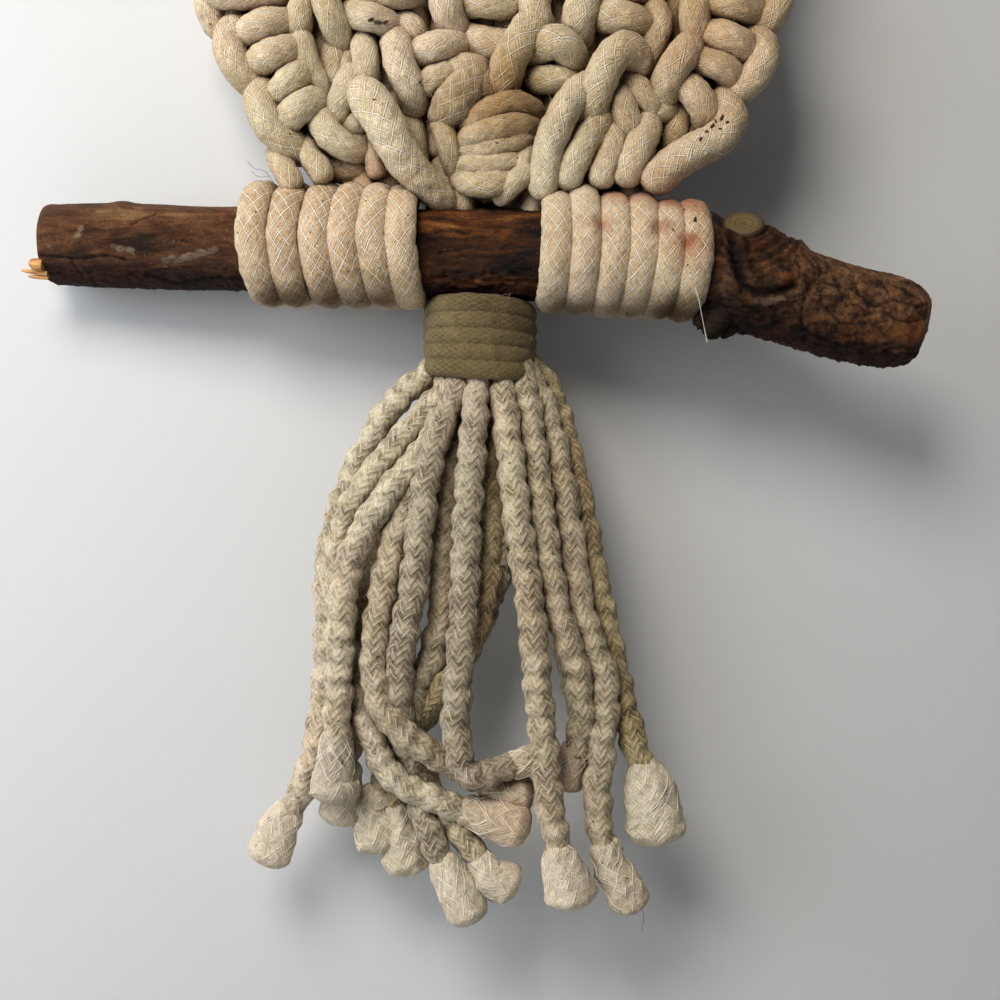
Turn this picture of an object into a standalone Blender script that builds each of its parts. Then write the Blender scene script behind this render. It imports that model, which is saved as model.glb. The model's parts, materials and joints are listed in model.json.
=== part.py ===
"""Macrame wall hanging on a branch perch: the lower part of a body of square knots, its cords wound
in two feet round a natural branch, and a gathered tail tassel below. Metres, +Z up, front facing -Y.
The origin is the middle of the top edge, where the hanging is held."""

import math
from collections import namedtuple

import bmesh
import bpy
from mathutils import Matrix, Vector

# Driving dimensions, in millimetres
CORD = 5.6  # braided cotton cord, across
GAP = 0.3  # between pieces that touch
PANEL_THICK = 5.0  # the knots' core cords, front to back
KNOT_ROW = 13.0  # from one row of plain upper knots to the next
KNOT_COLUMN = 19.0
TURNS_ON_FOOT = 6
FOOT_RADIUS = 12.6
FOOT_BORE = 10.0
TURNS_ON_TAIL = 5
TAIL_CENTRE = (-4.1, 4.0)  # X and Y of the gathered neck
TAIL_RADIUS = 10.8
NECK_RADIUS = 8.6
NECK_TOP = -100.2
NECK_BOTTOM = -114.8
FLARE_RADIUS = 10.6  # of the bunched cords just under the gathering wrap
MM = 0.001

Section = namedtuple("Section", "x z radius")
Edge = namedtuple("Edge", "z left right")
Knot = namedtuple("Knot", "x z tilt bight_side")
Leg = namedtuple("Leg", "x z length tilt y")
Foot = namedtuple("Foot", "name x z length lean")
Bundle = namedtuple("Bundle", "y z spread")

# The branch from its left end to its right end
BRANCH = (
    Section(x=-92.8, z=-88.4, radius=6.9),
    Section(x=-91.6, z=-88.5, radius=7.9),
    Section(x=-72.0, z=-88.9, radius=8.1),
    Section(x=-52.0, z=-89.2, radius=8.3),
    Section(x=-30.0, z=-89.7, radius=8.8),
    Section(x=-4.0, z=-90.2, radius=9.2),
    Section(x=9.0, z=-90.5, radius=9.1),
    Section(x=26.0, z=-91.6, radius=8.9),
    Section(x=43.0, z=-92.9, radius=9.1),
    Section(x=52.0, z=-96.0, radius=10.6),
    Section(x=64.0, z=-99.8, radius=9.4),
    Section(x=76.0, z=-102.5, radius=8.6),
    Section(x=85.2, z=-104.4, radius=8.1),
    Section(x=86.4, z=-104.7, radius=7.2),
)

# The knotted panel's outline, from the top edge down
OUTLINE = (
    Edge(z=-0.8, left=-57.0, right=56.0),
    Edge(z=-40.0, left=-57.0, right=55.5),
    Edge(z=-52.0, left=-54.5, right=53.0),
    Edge(z=-60.0, left=-49.0, right=47.5),
    Edge(z=-67.0, left=-46.0, right=42.0),
    Edge(z=-72.0, left=-42.0, right=37.0),
)

# Lower square knots: the middle of each, its lean in degrees, and the side that its upright bight is on
KNOTS = (
    Knot(x=-49.0, z=-49.5, tilt=14, bight_side=-1),
    Knot(x=-42.5, z=-61.5, tilt=20, bight_side=-1),
    Knot(x=-29.5, z=-46.0, tilt=-6, bight_side=-1),
    Knot(x=-31.0, z=-62.0, tilt=-16, bight_side=-1),
    Knot(x=-14.5, z=-53.5, tilt=4, bight_side=-1),
    Knot(x=-6.0, z=-42.5, tilt=0, bight_side=-1),
    Knot(x=7.5, z=-52.0, tilt=6, bight_side=-1),
    Knot(x=20.0, z=-44.0, tilt=8, bight_side=-1),
    Knot(x=28.0, z=-57.0, tilt=-30, bight_side=-1),
    Knot(x=43.0, z=-46.0, tilt=-8, bight_side=-1),
    Knot(x=42.5, z=-56.5, tilt=-22, bight_side=1),
)

# Runs of cord below the knots: the middle of each, its length, its lean, and how far forward it lies
LEGS = (
    Leg(x=-42.6, z=-74.5, length=17.0, tilt=4, y=-1.5),
    Leg(x=-36.2, z=-74.0, length=18.0, tilt=-18, y=-1.5),
    Leg(x=-29.0, z=-74.5, length=17.0, tilt=12, y=-1.5),
    Leg(x=-22.0, z=-67.0, length=24.0, tilt=-26, y=-5.0),
    Leg(x=-15.5, z=-75.0, length=16.0, tilt=-40, y=-1.0),
    Leg(x=-9.0, z=-62.5, length=17.0, tilt=0, y=-4.0),
    Leg(x=2.5, z=-64.5, length=20.0, tilt=70, y=-4.0),
    Leg(x=-0.5, z=-70.5, length=23.0, tilt=84, y=-3.0),
    Leg(x=-1.0, z=-76.4, length=20.0, tilt=88, y=-1.5),
    Leg(x=10.5, z=-71.5, length=22.0, tilt=12, y=-2.5),
    Leg(x=16.5, z=-71.5, length=22.0, tilt=20, y=-2.5),
    Leg(x=23.0, z=-72.5, length=20.0, tilt=14, y=-2.0),
    Leg(x=29.0, z=-73.0, length=20.0, tilt=14, y=-2.0),
    Leg(x=36.5, z=-71.5, length=22.0, tilt=42, y=-2.0),
)

FEET = (
    Foot(name="foot_wrap_left", x=-33.9, z=-89.6, length=37.0, lean=0.7),
    Foot(name="foot_wrap_right", x=24.9, z=-91.5, length=34.8, lean=3.9),
)

# The tail cords' way from the gathering wrap up behind the branch
TAIL_BUNDLE = (
    Bundle(y=6.0, z=-106.0, spread=2.6),
    Bundle(y=8.3, z=-99.8, spread=3.0),
    Bundle(y=12.2, z=-96.0, spread=4.0),
    Bundle(y=13.2, z=-90.0, spread=4.8),
    Bundle(y=12.4, z=-85.0, spread=4.8),
    Bundle(y=9.8, z=-80.9, spread=4.8),
)
TAIL_CORDS = 4
TAIL_CORD_RADIUS = 2.5

# Each tassel cord's route from inside the gathering wrap to where its frayed end begins: X, Y, Z
STRANDS = {
    "front_middle": (
        (-4.0, -1.8, -108), (-4.5, -3.5, -117), (-5.5, -7.0, -130), (-6.5, -8.5, -145),
        (-7.0, -9.0, -160), (-8.2, -8.5, -175), (-8.5, -8.0, -187), (-5.5, -7.5, -194.5),
        (0.5, -6.0, -193.0), (7.0, -4.5, -191.5),
    ),
    "front_right": (
        (0.0, -1.0, -108), (0.5, -3.0, -118), (2.0, -6.5, -131), (3.8, -8.5, -146),
        (6.0, -9.0, -161), (7.3, -8.5, -176), (8.8, -7.5, -189), (10.0, -6.5, -201),
        (12.5, -6.0, -213),
    ),
    "right_short": (
        (2.0, 1.0, -108), (5.0, -1.2, -118), (7.0, -4.0, -132), (8.6, -6.0, -146),
        (11.0, -6.5, -160), (15.0, -5.5, -173), (16.2, -3.0, -185), (14.5, 0.0, -194),
    ),
    "right_long": (
        (2.4, 4.2, -108), (8.5, 1.5, -120), (12.0, -1.5, -134), (14.2, -3.5, -149),
        (16.5, -4.0, -163), (21.0, -3.5, -176), (20.3, -3.0, -190), (19.5, -3.0, -202),
        (22.0, -3.0, -213),
    ),
    "right_outer": (
        (2.0, 7.0, -108), (9.5, 6.0, -116.5), (14.0, 3.0, -130), (17.5, 1.0, -147),
        (20.5, 0.5, -162), (24.0, 0.5, -177), (26.5, 0.0, -187), (30.0, 0.0, -197),
    ),
    "left_front": (
        (-7.5, -0.5, -108), (-8.5, -2.5, -117), (-13.0, -6.0, -129), (-15.5, -8.0, -143),
        (-17.0, -8.5, -157), (-19.5, -7.5, -171), (-20.0, -5.0, -182), (-18.5, -1.0, -191),
        (-16.0, -1.5, -200), (-13.5, -3.0, -208), (-9.5, -4.0, -216),
    ),
    "left_sweep": (
        (-9.0, 2.0, -108), (-11.5, 0.5, -118), (-20.0, -1.5, -128), (-28.5, -2.0, -139),
        (-32.3, -1.5, -150), (-32.3, -1.0, -163), (-29.5, -1.0, -176), (-25.5, -2.5, -188),
        (-21.0, -3.5, -195.5), (-12.0, -4.0, -200), (-3.0, -4.0, -203),
    ),
    "left_outer": (
        (-9.0, 5.5, -108), (-14.5, 4.0, -114), (-22.5, 2.5, -121.5), (-31.0, 1.5, -138),
        (-34.7, 1.5, -152), (-35.0, 1.5, -168), (-36.0, 1.0, -183), (-39.0, 0.0, -196),
        (-44.5, -1.0, -206),
    ),
    "left_bold": (
        (-6.5, 1.5, -108), (-9.5, -1.0, -119), (-15.0, -4.0, -130), (-20.0, -6.0, -136),
        (-26.0, -7.0, -144.5), (-30.0, -7.0, -154), (-31.3, -7.0, -166), (-32.0, -6.0, -178),
        (-32.5, -5.0, -188), (-33.0, -5.0, -196),
    ),
    "left_hook": (
        (-5.0, 1.0, -108), (-9.0, -1.0, -120), (-15.0, -3.5, -133), (-20.0, -5.0, -145),
        (-23.0, -6.0, -157), (-24.8, -6.5, -170), (-23.5, -7.0, -180), (-18.0, -6.5, -187),
        (-11.0, -3.5, -192), (-4.0, -2.0, -196), (1.0, -2.0, -199),
    ),
    "middle_cross": (
        (-6.0, 4.0, -108), (-8.0, 1.0, -120), (-10.3, -1.0, -134), (-11.5, -2.5, -148),
        (-11.5, -3.0, -161), (-13.5, -3.0, -171), (-17.0, -2.5, -177), (-18.0, -1.0, -188),
        (-14.0, 0.0, -199), (-9.0, -1.5, -205), (-2.0, -3.0, -215.5),
    ),
    "middle_back": (
        (-3.0, 4.0, -108), (-2.3, 1.0, -120), (-2.0, -1.5, -135), (-2.2, -3.0, -148),
        (-3.5, -3.0, -161), (-8.0, -2.0, -172), (-12.0, -1.5, -177.5), (-18.0, 0.5, -186),
        (-21.0, 2.0, -196), (-21.0, 2.0, -206),
    ),
    "middle_right": (
        (-1.0, 6.0, -108), (0.0, 4.0, -120), (0.5, 0.0, -137), (0.2, -1.0, -150),
        (-3.0, 0.5, -162), (-10.0, 1.5, -176), (-20.0, 2.0, -190), (-26.5, 2.0, -203),
    ),
    "back_left": (
        (-8.0, 8.0, -108), (-13.0, 9.0, -120), (-21.0, 7.0, -138), (-26.5, 5.0, -158),
        (-29.0, 4.0, -178), (-32.0, 2.0, -198),
    ),
    "back_right": (
        (0.0, 8.5, -108), (3.0, 9.5, -122), (8.0, 7.0, -140), (11.0, 4.5, -158),
        (14.0, 3.0, -172), (18.0, 3.5, -188),
    ),
}
STRAND_SPACING = 12.0  # between the points along a strand


def make_collection(name):
    collection = bpy.data.collections.new(name)
    bpy.context.scene.collection.children.link(collection)
    return collection


for old in list(bpy.data.objects):
    bpy.data.objects.remove(old, do_unlink=True)
PARTS = make_collection("macrame_wall_hanging")


def make_material(name, colour, roughness):
    """A plain Principled BSDF; the colour is linear."""
    material = bpy.data.materials.new(name)
    material.use_nodes = True
    shader = material.node_tree.nodes["Principled BSDF"]
    shader.inputs["Base Color"].default_value = (*colour, 1.0)
    shader.inputs["Roughness"].default_value = roughness
    shader.inputs["Metallic"].default_value = 0.0
    material.diffuse_color = (*colour, 1.0)
    return material


def place(obj, collection, material=None):
    collection.objects.link(obj)
    if material:
        obj.data.materials.append(material)
    return obj


def helper(obj):
    """Marks an object as a tool that only joins or cuts others."""
    obj.hide_render = True
    obj.display_type = "WIRE"
    return obj


def from_bmesh(name, shape):
    mesh = bpy.data.meshes.new(name)
    shape.to_mesh(mesh)
    shape.free()
    return bpy.data.objects.new(name, mesh)


def smooth_route(points, spacing):
    """Points about the spacing apart on a Catmull-Rom curve through these."""
    route = [Vector(p) for p in points]
    ends = [2 * route[0] - route[1], *route, 2 * route[-1] - route[-2]]
    found = []
    for a, b, c, d in zip(ends, ends[1:], ends[2:], ends[3:]):
        steps = max(1, round((c - b).length / spacing))
        for i in range(steps):
            t = i / steps
            found.append(
                0.5 * (2 * b + (c - a) * t + (2 * a - 5 * b + 4 * c - d) * t**2
                       + (3 * b - a - 3 * c + d) * t**3)
            )
    return [*found, route[-1]]


def tube(name, points, radii, sides_level=1):
    """A closed mesh round the points, in millimetres, from a POLY curve with filled caps."""
    curve = bpy.data.curves.new(name, "CURVE")
    curve.dimensions = "3D"
    curve.bevel_depth = MM
    curve.bevel_resolution = sides_level
    curve.use_fill_caps = True
    spline = curve.splines.new("POLY")
    spline.points.add(len(points) - 1)
    for point, place_mm, radius in zip(spline.points, points, radii):
        point.co = (*(Vector(place_mm) * MM), 1.0)
        point.radius = radius
    guide = bpy.data.objects.new(name + "_guide", curve)
    bpy.context.scene.collection.objects.link(guide)
    graph = bpy.context.evaluated_depsgraph_get()
    mesh = bpy.data.meshes.new_from_object(guide.evaluated_get(graph))
    shape = bmesh.new()
    shape.from_mesh(mesh)
    bmesh.ops.remove_doubles(shape, verts=shape.verts, dist=1e-6)
    bmesh.ops.recalc_face_normals(shape, faces=shape.faces)
    obj = from_bmesh(name, shape)
    obj.matrix_world = guide.matrix_world
    bpy.data.objects.remove(guide, do_unlink=True)
    return obj


def join_all(obj, collection):
    """Unites the object with every solid in the collection."""
    union = obj.modifiers.new("join", "BOOLEAN")
    union.operation = "UNION"
    union.solver = "EXACT"
    union.operand_type = "COLLECTION"
    union.collection = collection
    union.use_self = True


def cut_clear(obj, cutter, collection):
    """Cuts the object back from a neighbour's clearance."""
    cut = obj.modifiers.new("cut_" + cutter.name, "BOOLEAN")
    cut.operation = "DIFFERENCE"
    cut.solver = "EXACT"
    cut.object = place(cutter, collection)


def grain(name, centre, half, turn):
    """A knot's lobe: an ellipsoid of cord, turned in the panel's plane."""
    shape = bmesh.new()
    bmesh.ops.create_uvsphere(shape, u_segments=6, v_segments=4, radius=1.0)
    scale = Matrix.Diagonal((half[0] * MM, half[1] * MM, half[2] * MM, 1.0))
    spin = Matrix.Rotation(math.radians(turn), 4, "Y")
    move = Matrix.Translation(Vector(centre) * MM)
    bmesh.ops.transform(shape, matrix=move @ spin @ scale, verts=shape.verts)
    return helper(from_bmesh(name, shape))


def turned(name, profile, place_matrix):
    """A closed profile of (along, radius) turned round X by the Screw modifier."""
    shape = bmesh.new()
    corners = [shape.verts.new((along * MM, 0.0, radius * MM)) for along, radius in profile]
    for a, b in zip(corners, corners[1:] + corners[:1]):
        shape.edges.new((a, b))
    obj = from_bmesh(name, shape)
    screw = obj.modifiers.new("turn", "SCREW")
    screw.axis = "X"
    screw.angle = math.tau
    screw.steps = 18
    screw.render_steps = 18
    screw.use_merge_vertices = True
    screw.merge_threshold = 1e-6
    screw.use_smooth_shade = True
    screw.use_normal_flip = True
    obj.matrix_world = place_matrix
    return obj


def wound_profile(length, turns, outer, inner):
    """A sleeve's profile, with one rounded ridge for each turn of cord."""
    pitch = length / turns
    start = -length / 2
    profile = [(start, inner)]
    for turn in range(turns):
        for share, radius in ((0.04, outer - 1.2), (0.28, outer), (0.72, outer)):
            profile.append((start + (turn + share) * pitch, radius))
    profile += [(-start, outer - 1.2), (-start, inner)]
    return profile


# The branch: a tapered, slightly crooked length with a burl, a sawn side stub and a broken twig
def make_branch():
    wood = make_material("bark", (0.095, 0.045, 0.028), 0.7)
    route = smooth_route([(s.x, s.radius, s.z) for s in BRANCH], 7.0)
    obj = tube("branch", [(p.x, 0.0, p.z) for p in route], [p.y for p in route], sides_level=4)
    knobs = make_collection("branch_tools")
    place(grain("burl", (50.5, -1.5, -94.0), (8.0, 10.2, 10.2), 20), knobs)
    stub = tube("side_stub", [(50.0, -1.0, -94.0), (48.6, -6.2, -84.6)], [4.6, 3.6])
    place(helper(stub), knobs)
    twig = tube("broken_twig", [(47.5, -1.0, -101.5), (44.6, -2.5, -107.9)], [2.6, 1.5])
    place(helper(twig), knobs)
    join_all(obj, knobs)
    obj.data.shade_smooth()
    return place(obj, PARTS, wood)


# The feet: the body's outer cords, wound round the branch
def make_feet():
    cotton = make_material("wound_cord", (0.62, 0.47, 0.32), 0.95)
    for foot in FEET:
        at = Matrix.Translation(Vector((foot.x, 0.0, foot.z)) * MM)
        turn = Matrix.Rotation(math.radians(foot.lean), 4, "Y")
        profile = wound_profile(foot.length, TURNS_ON_FOOT, FOOT_RADIUS, FOOT_BORE)
        place(turned(foot.name, profile, at @ turn), PARTS, cotton)


# The gathering wrap: a cut cord wound round the tail cords
def make_gathering_wrap():
    cotton = make_material("gathering_cord", (0.36, 0.30, 0.16), 0.95)
    length = NECK_TOP - NECK_BOTTOM
    middle = Vector((*TAIL_CENTRE, (NECK_TOP + NECK_BOTTOM) / 2)) * MM
    upright = Matrix.Rotation(math.radians(90), 4, "Y")
    profile = wound_profile(length, TURNS_ON_TAIL, TAIL_RADIUS, NECK_RADIUS + GAP)
    obj = turned("gathering_wrap", profile, Matrix.Translation(middle) @ upright)
    place(obj, PARTS, cotton)


# A square knot's lobes: two bars across and one upright bight at a side. A plain knot's bars are one.
Lobe = namedtuple("Lobe", "part x z half")
SQUARE_KNOT = (
    Lobe(part="upper_bar", x=-1.8, z=3.0, half=(7.6, 9.6, 3.6)),
    Lobe(part="lower_bar", x=-1.8, z=-3.1, half=(7.6, 9.6, 3.6)),
    Lobe(part="bight", x=6.2, z=-0.2, half=(3.7, 9.0, 7.4)),
)
PLAIN_KNOT = (
    Lobe(part="bars", x=-2.2, z=0.0, half=(8.2, 9.8, 6.6)),
    Lobe(part="bight", x=6.6, z=-0.2, half=(3.9, 9.0, 7.2)),
)


def knot_lobes(knot, lobes, number):
    lean = Matrix.Rotation(math.radians(knot.tilt), 3, "Y")
    for lobe in lobes:
        centre = Vector((knot.x, 0.0, knot.z)) + lean @ Vector((lobe.x * knot.bight_side, 0.0, lobe.z))
        yield grain(f"{lobe.part}_{number}", centre, lobe.half, knot.tilt)


def upper_knots():
    """Plain alternating rows above the lower knots, up to the top edge."""
    for row in range(3):
        count = 6 - row % 2
        for i in range(count):
            x = (i - (count - 1) / 2) * KNOT_COLUMN - 0.5
            yield Knot(x=x, z=-33.0 + row * KNOT_ROW, tilt=0, bight_side=-1 if x < 0 else 1)


def foot_clearance(foot):
    """A cylinder a gap larger than the foot, which trims the cords that run down to it."""
    shape = bmesh.new()
    radius = (FOOT_RADIUS + 2 * GAP) * MM
    bmesh.ops.create_cone(
        shape, cap_ends=True, segments=24, radius1=radius, radius2=radius,
        depth=(foot.length + 4 * GAP) * MM,
    )
    obj = helper(from_bmesh("clearance_" + foot.name, shape))
    along = Matrix.Rotation(math.radians(90 + foot.lean), 4, "Y")
    obj.matrix_world = Matrix.Translation(Vector((foot.x, 0.0, foot.z)) * MM) @ along
    return obj


# The knotted panel: square knots on their core cords, and the cords that lead down to the feet
def make_panel():
    cotton = make_material("knotted_cord", (0.66, 0.54, 0.37), 0.95)
    left = [(e.left, e.z) for e in OUTLINE]
    right = [(e.right, e.z) for e in reversed(OUTLINE)]
    curve = bpy.data.curves.new("panel_outline", "CURVE")
    curve.dimensions = "2D"
    curve.fill_mode = "BOTH"
    curve.extrude = PANEL_THICK / 2 * MM
    spline = curve.splines.new("POLY")
    outline = left + right
    spline.points.add(len(outline) - 1)
    for point, (x, z) in zip(spline.points, outline):
        point.co = (x * MM, z * MM, 0.0, 1.0)
    spline.use_cyclic_u = True
    guide = bpy.data.objects.new("panel_guide", curve)
    guide.matrix_world = Matrix.Rotation(math.radians(90), 4, "X")
    bpy.context.scene.collection.objects.link(guide)
    graph = bpy.context.evaluated_depsgraph_get()
    mesh = bpy.data.meshes.new_from_object(guide.evaluated_get(graph))
    shape = bmesh.new()
    shape.from_mesh(mesh)
    bmesh.ops.transform(shape, matrix=guide.matrix_world, verts=shape.verts)
    bmesh.ops.remove_doubles(shape, verts=shape.verts, dist=1e-6)
    bmesh.ops.recalc_face_normals(shape, faces=shape.faces)
    obj = from_bmesh("knot_panel", shape)
    bpy.data.objects.remove(guide, do_unlink=True)
    lobes = make_collection("panel_tools")
    clearances = make_collection("panel_cutters")
    plan = [(knot, SQUARE_KNOT) for knot in KNOTS] + [(knot, PLAIN_KNOT) for knot in upper_knots()]
    for number, (knot, kind) in enumerate(plan):
        for lobe in knot_lobes(knot, kind, number):
            place(lobe, lobes)
    for number, leg in enumerate(LEGS):
        half = (CORD / 2 + 0.5, CORD / 2 + 1.8, leg.length / 2)
        place(grain(f"leg_{number}", (leg.x, leg.y, leg.z), half, leg.tilt), lobes)
    join_all(obj, lobes)
    for foot in FEET:
        cut_clear(obj, foot_clearance(foot), clearances)
    return place(obj, PARTS, cotton)


def wrap_clearance():
    """A thick ring round the neck, a gap longer than the gathering wrap at each end."""
    half = (NECK_TOP - NECK_BOTTOM) / 2 + GAP
    profile = [(-half, NECK_RADIUS), (-half, 2 * TAIL_RADIUS), (half, 2 * TAIL_RADIUS), (half, NECK_RADIUS)]
    middle = Vector((*TAIL_CENTRE, (NECK_TOP + NECK_BOTTOM) / 2)) * MM
    upright = Matrix.Rotation(math.radians(90), 4, "Y")
    return helper(turned("clearance_gathering_wrap", profile, Matrix.Translation(middle) @ upright))


# The tail: cords behind the branch, the gathered neck, and the tassel's strands below it
def make_tassel():
    cotton = make_material("tassel_cord", (0.47, 0.40, 0.26), 0.95)
    x, y = TAIL_CENTRE
    heights = (NECK_TOP, NECK_TOP - 4.0, NECK_BOTTOM + 0.5, NECK_BOTTOM - 2.5, NECK_BOTTOM - 10.0)
    bunched = NECK_RADIUS + 0.9
    radii = (NECK_RADIUS - 1.0, bunched, bunched, FLARE_RADIUS, NECK_RADIUS - 2.0)
    neck = tube("tail_tassel", [(x, y, z) for z in heights], radii, sides_level=4)
    strands = make_collection("tassel_tools")
    for name, points in STRANDS.items():
        route = smooth_route(points, STRAND_SPACING)
        place(helper(tube(name, route, [CORD / 2] * len(route))), strands)
    for i in range(TAIL_CORDS):
        share = 2 * i / (TAIL_CORDS - 1) - 1
        points = [(x + share * 1.6 * b.spread, b.y, b.z) for b in TAIL_BUNDLE]
        route = smooth_route(points, STRAND_SPACING / 2)
        place(helper(tube(f"tail_cord_{i}", route, [TAIL_CORD_RADIUS] * len(route))), strands)
    join_all(neck, strands)
    cut_clear(neck, wrap_clearance(), make_collection("tassel_cutters"))
    return place(neck, PARTS, cotton)


make_branch()
make_feet()
make_gathering_wrap()
make_panel()
make_tassel()
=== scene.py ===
import math
import json

import bpy
import numpy as np
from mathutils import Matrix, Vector, noise

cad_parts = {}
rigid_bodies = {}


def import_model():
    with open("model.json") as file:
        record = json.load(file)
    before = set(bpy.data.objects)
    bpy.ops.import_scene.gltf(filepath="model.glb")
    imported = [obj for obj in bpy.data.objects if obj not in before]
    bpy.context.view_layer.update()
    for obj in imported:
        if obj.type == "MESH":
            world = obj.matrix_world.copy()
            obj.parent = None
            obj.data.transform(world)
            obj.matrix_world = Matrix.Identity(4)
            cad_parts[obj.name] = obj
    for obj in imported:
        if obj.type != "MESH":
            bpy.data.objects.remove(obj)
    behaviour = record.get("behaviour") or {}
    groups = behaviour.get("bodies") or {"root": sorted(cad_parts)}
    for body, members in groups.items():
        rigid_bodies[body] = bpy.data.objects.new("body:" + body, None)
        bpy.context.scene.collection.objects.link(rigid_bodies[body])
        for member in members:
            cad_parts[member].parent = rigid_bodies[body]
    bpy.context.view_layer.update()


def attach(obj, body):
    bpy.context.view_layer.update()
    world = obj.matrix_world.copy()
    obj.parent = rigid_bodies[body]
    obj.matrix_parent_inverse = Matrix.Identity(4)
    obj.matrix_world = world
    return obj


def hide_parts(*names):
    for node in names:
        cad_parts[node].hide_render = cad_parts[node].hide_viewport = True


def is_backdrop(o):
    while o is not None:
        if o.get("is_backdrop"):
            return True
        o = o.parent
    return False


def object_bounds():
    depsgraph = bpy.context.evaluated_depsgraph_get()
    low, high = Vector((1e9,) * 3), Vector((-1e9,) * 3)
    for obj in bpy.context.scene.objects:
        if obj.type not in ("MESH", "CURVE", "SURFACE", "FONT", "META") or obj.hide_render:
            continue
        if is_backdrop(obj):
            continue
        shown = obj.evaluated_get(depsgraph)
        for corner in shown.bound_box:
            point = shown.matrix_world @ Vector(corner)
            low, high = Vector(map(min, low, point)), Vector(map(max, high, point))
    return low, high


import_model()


# The studio: a plain pale floor that curves up into a wall close behind the hanging, as a paper sweep
# does. It is no part of the object. Seen from behind it is clear, so that the back of the work shows.

def linear(hex_colour):
    """An sRGB hex value as linear RGBA."""
    parts = [int(hex_colour[i:i + 2], 16) / 255 for i in (1, 3, 5)]
    return (*(c / 12.92 if c <= 0.04045 else ((c + 0.055) / 1.055) ** 2.4 for c in parts), 1.0)


def add_node(tree, kind, settings=None, links=None, values=None):
    """A shader node with its settings, its linked inputs and its fixed inputs."""
    node = tree.nodes.new(kind)
    for key, value in (settings or {}).items():
        setattr(node, key, value)
    for key, value in (values or {}).items():
        node.inputs[key].default_value = value
    for key, source in (links or {}).items():
        tree.links.new(source, node.inputs[key])
    return node


def new_material(name):
    """An empty material with its tree, its Principled shader and its output."""
    material = bpy.data.materials.new(name)
    material.use_nodes = True
    tree = material.node_tree
    tree.nodes.clear()
    shader = add_node(tree, "ShaderNodeBsdfPrincipled")
    output = add_node(tree, "ShaderNodeOutputMaterial", links={"Surface": shader.outputs["BSDF"]})
    return material, tree, shader, output


def mesh_object(name, points, faces, material, uv=None, smooth=True):
    """A mesh piece from points in metres, with one UV pair for each face corner."""
    mesh = bpy.data.meshes.new(name)
    mesh.from_pydata(points, [], faces)
    if uv is not None:
        layer = mesh.uv_layers.new(name="wound")
        layer.data.foreach_set("uv", np.asarray(uv, np.float32).ravel())
    mesh.materials.append(material)
    if smooth:
        mesh.shade_smooth()
    obj = bpy.data.objects.new(name, mesh)
    bpy.context.scene.collection.objects.link(obj)
    return obj


WALL_BEHIND = 0.021
FLOOR_BELOW = -0.42
SWEEP_RADIUS = 0.12
SWEEP_WIDE = 6.0
SWEEP_HIGH = 0.8
SWEEP_FORWARD = -6.0
WALL_SKEW = 0.132  # the wall stands a little nearer the hanging on the left than on the right

paper, tree, shader, output = new_material("studio_paper")
shader.inputs["Base Color"].default_value = linear("#D3D5D7")
shader.inputs["Roughness"].default_value = 0.9
geometry = add_node(tree, "ShaderNodeNewGeometry")
clear = add_node(tree, "ShaderNodeBsdfTransparent")
sided = add_node(tree, "ShaderNodeMixShader", links={
    0: geometry.outputs["Backfacing"], 1: shader.outputs["BSDF"], 2: clear.outputs["BSDF"]})
tree.links.new(sided.outputs[0], output.inputs["Surface"])

sweep = [(SWEEP_FORWARD, FLOOR_BELOW)]
for i in range(13):
    turn = math.pi / 2 * i / 12
    sweep.append((WALL_BEHIND - SWEEP_RADIUS + SWEEP_RADIUS * math.sin(turn),
                  FLOOR_BELOW + SWEEP_RADIUS - SWEEP_RADIUS * math.cos(turn)))
sweep.append((WALL_BEHIND, SWEEP_HIGH))
points = [(x, y + WALL_SKEW * x, z) for y, z in sweep for x in (-SWEEP_WIDE, SWEEP_WIDE)]
faces = [(2 * i, 2 * i + 1, 2 * i + 3, 2 * i + 2) for i in range(len(sweep) - 1)]
backdrop = mesh_object("studio_sweep", points, faces, paper)
backdrop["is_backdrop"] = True
# The same paper lies on the floor behind the wall, for anyone who walks round to the back
points = [(x, y + WALL_SKEW * x, FLOOR_BELOW) for y in (WALL_BEHIND - SWEEP_RADIUS, -SWEEP_FORWARD)
          for x in (-SWEEP_WIDE, SWEEP_WIDE)]
rear_floor = mesh_object("studio_rear_floor", points, [(0, 1, 3, 2)], paper)
rear_floor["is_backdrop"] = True


# The camera looks straight at the hanging from close by, a little below the branch, so that the wound
# turns at either side show their flanks. Its frame is 200 mm square at the front of the work.

VIEW_DISTANCE = 0.272
VIEW_PLANE = -0.003
VIEW_MIDDLE = (0.0, -0.140)
VIEW_SIZE = 0.200
camera_data = bpy.data.cameras.new("camera")
camera_data.sensor_width = 36.0
camera_data.lens = 36.0 * VIEW_DISTANCE / VIEW_SIZE
camera_data.clip_start = 0.01
camera = bpy.data.objects.new("camera", camera_data)
camera.location = (VIEW_MIDDLE[0], VIEW_PLANE - VIEW_DISTANCE, VIEW_MIDDLE[1])
camera.rotation_euler = (math.pi / 2, 0.0, 0.0)
bpy.context.scene.collection.objects.link(camera)
bpy.context.scene.camera = camera


# The tassel: fifteen cords of thick braided cotton hang from the gathering wrap. Each was untied, so it
# kept the crimps of its old knots, and each was cut and came undone at its end.

MM = 0.001
CORD = 5.6  # the braided cord's width in millimetres
rng = np.random.default_rng(7)
fuzz_roots = []  # where single cotton fibres stand off the cords: points, outward, along


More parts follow.
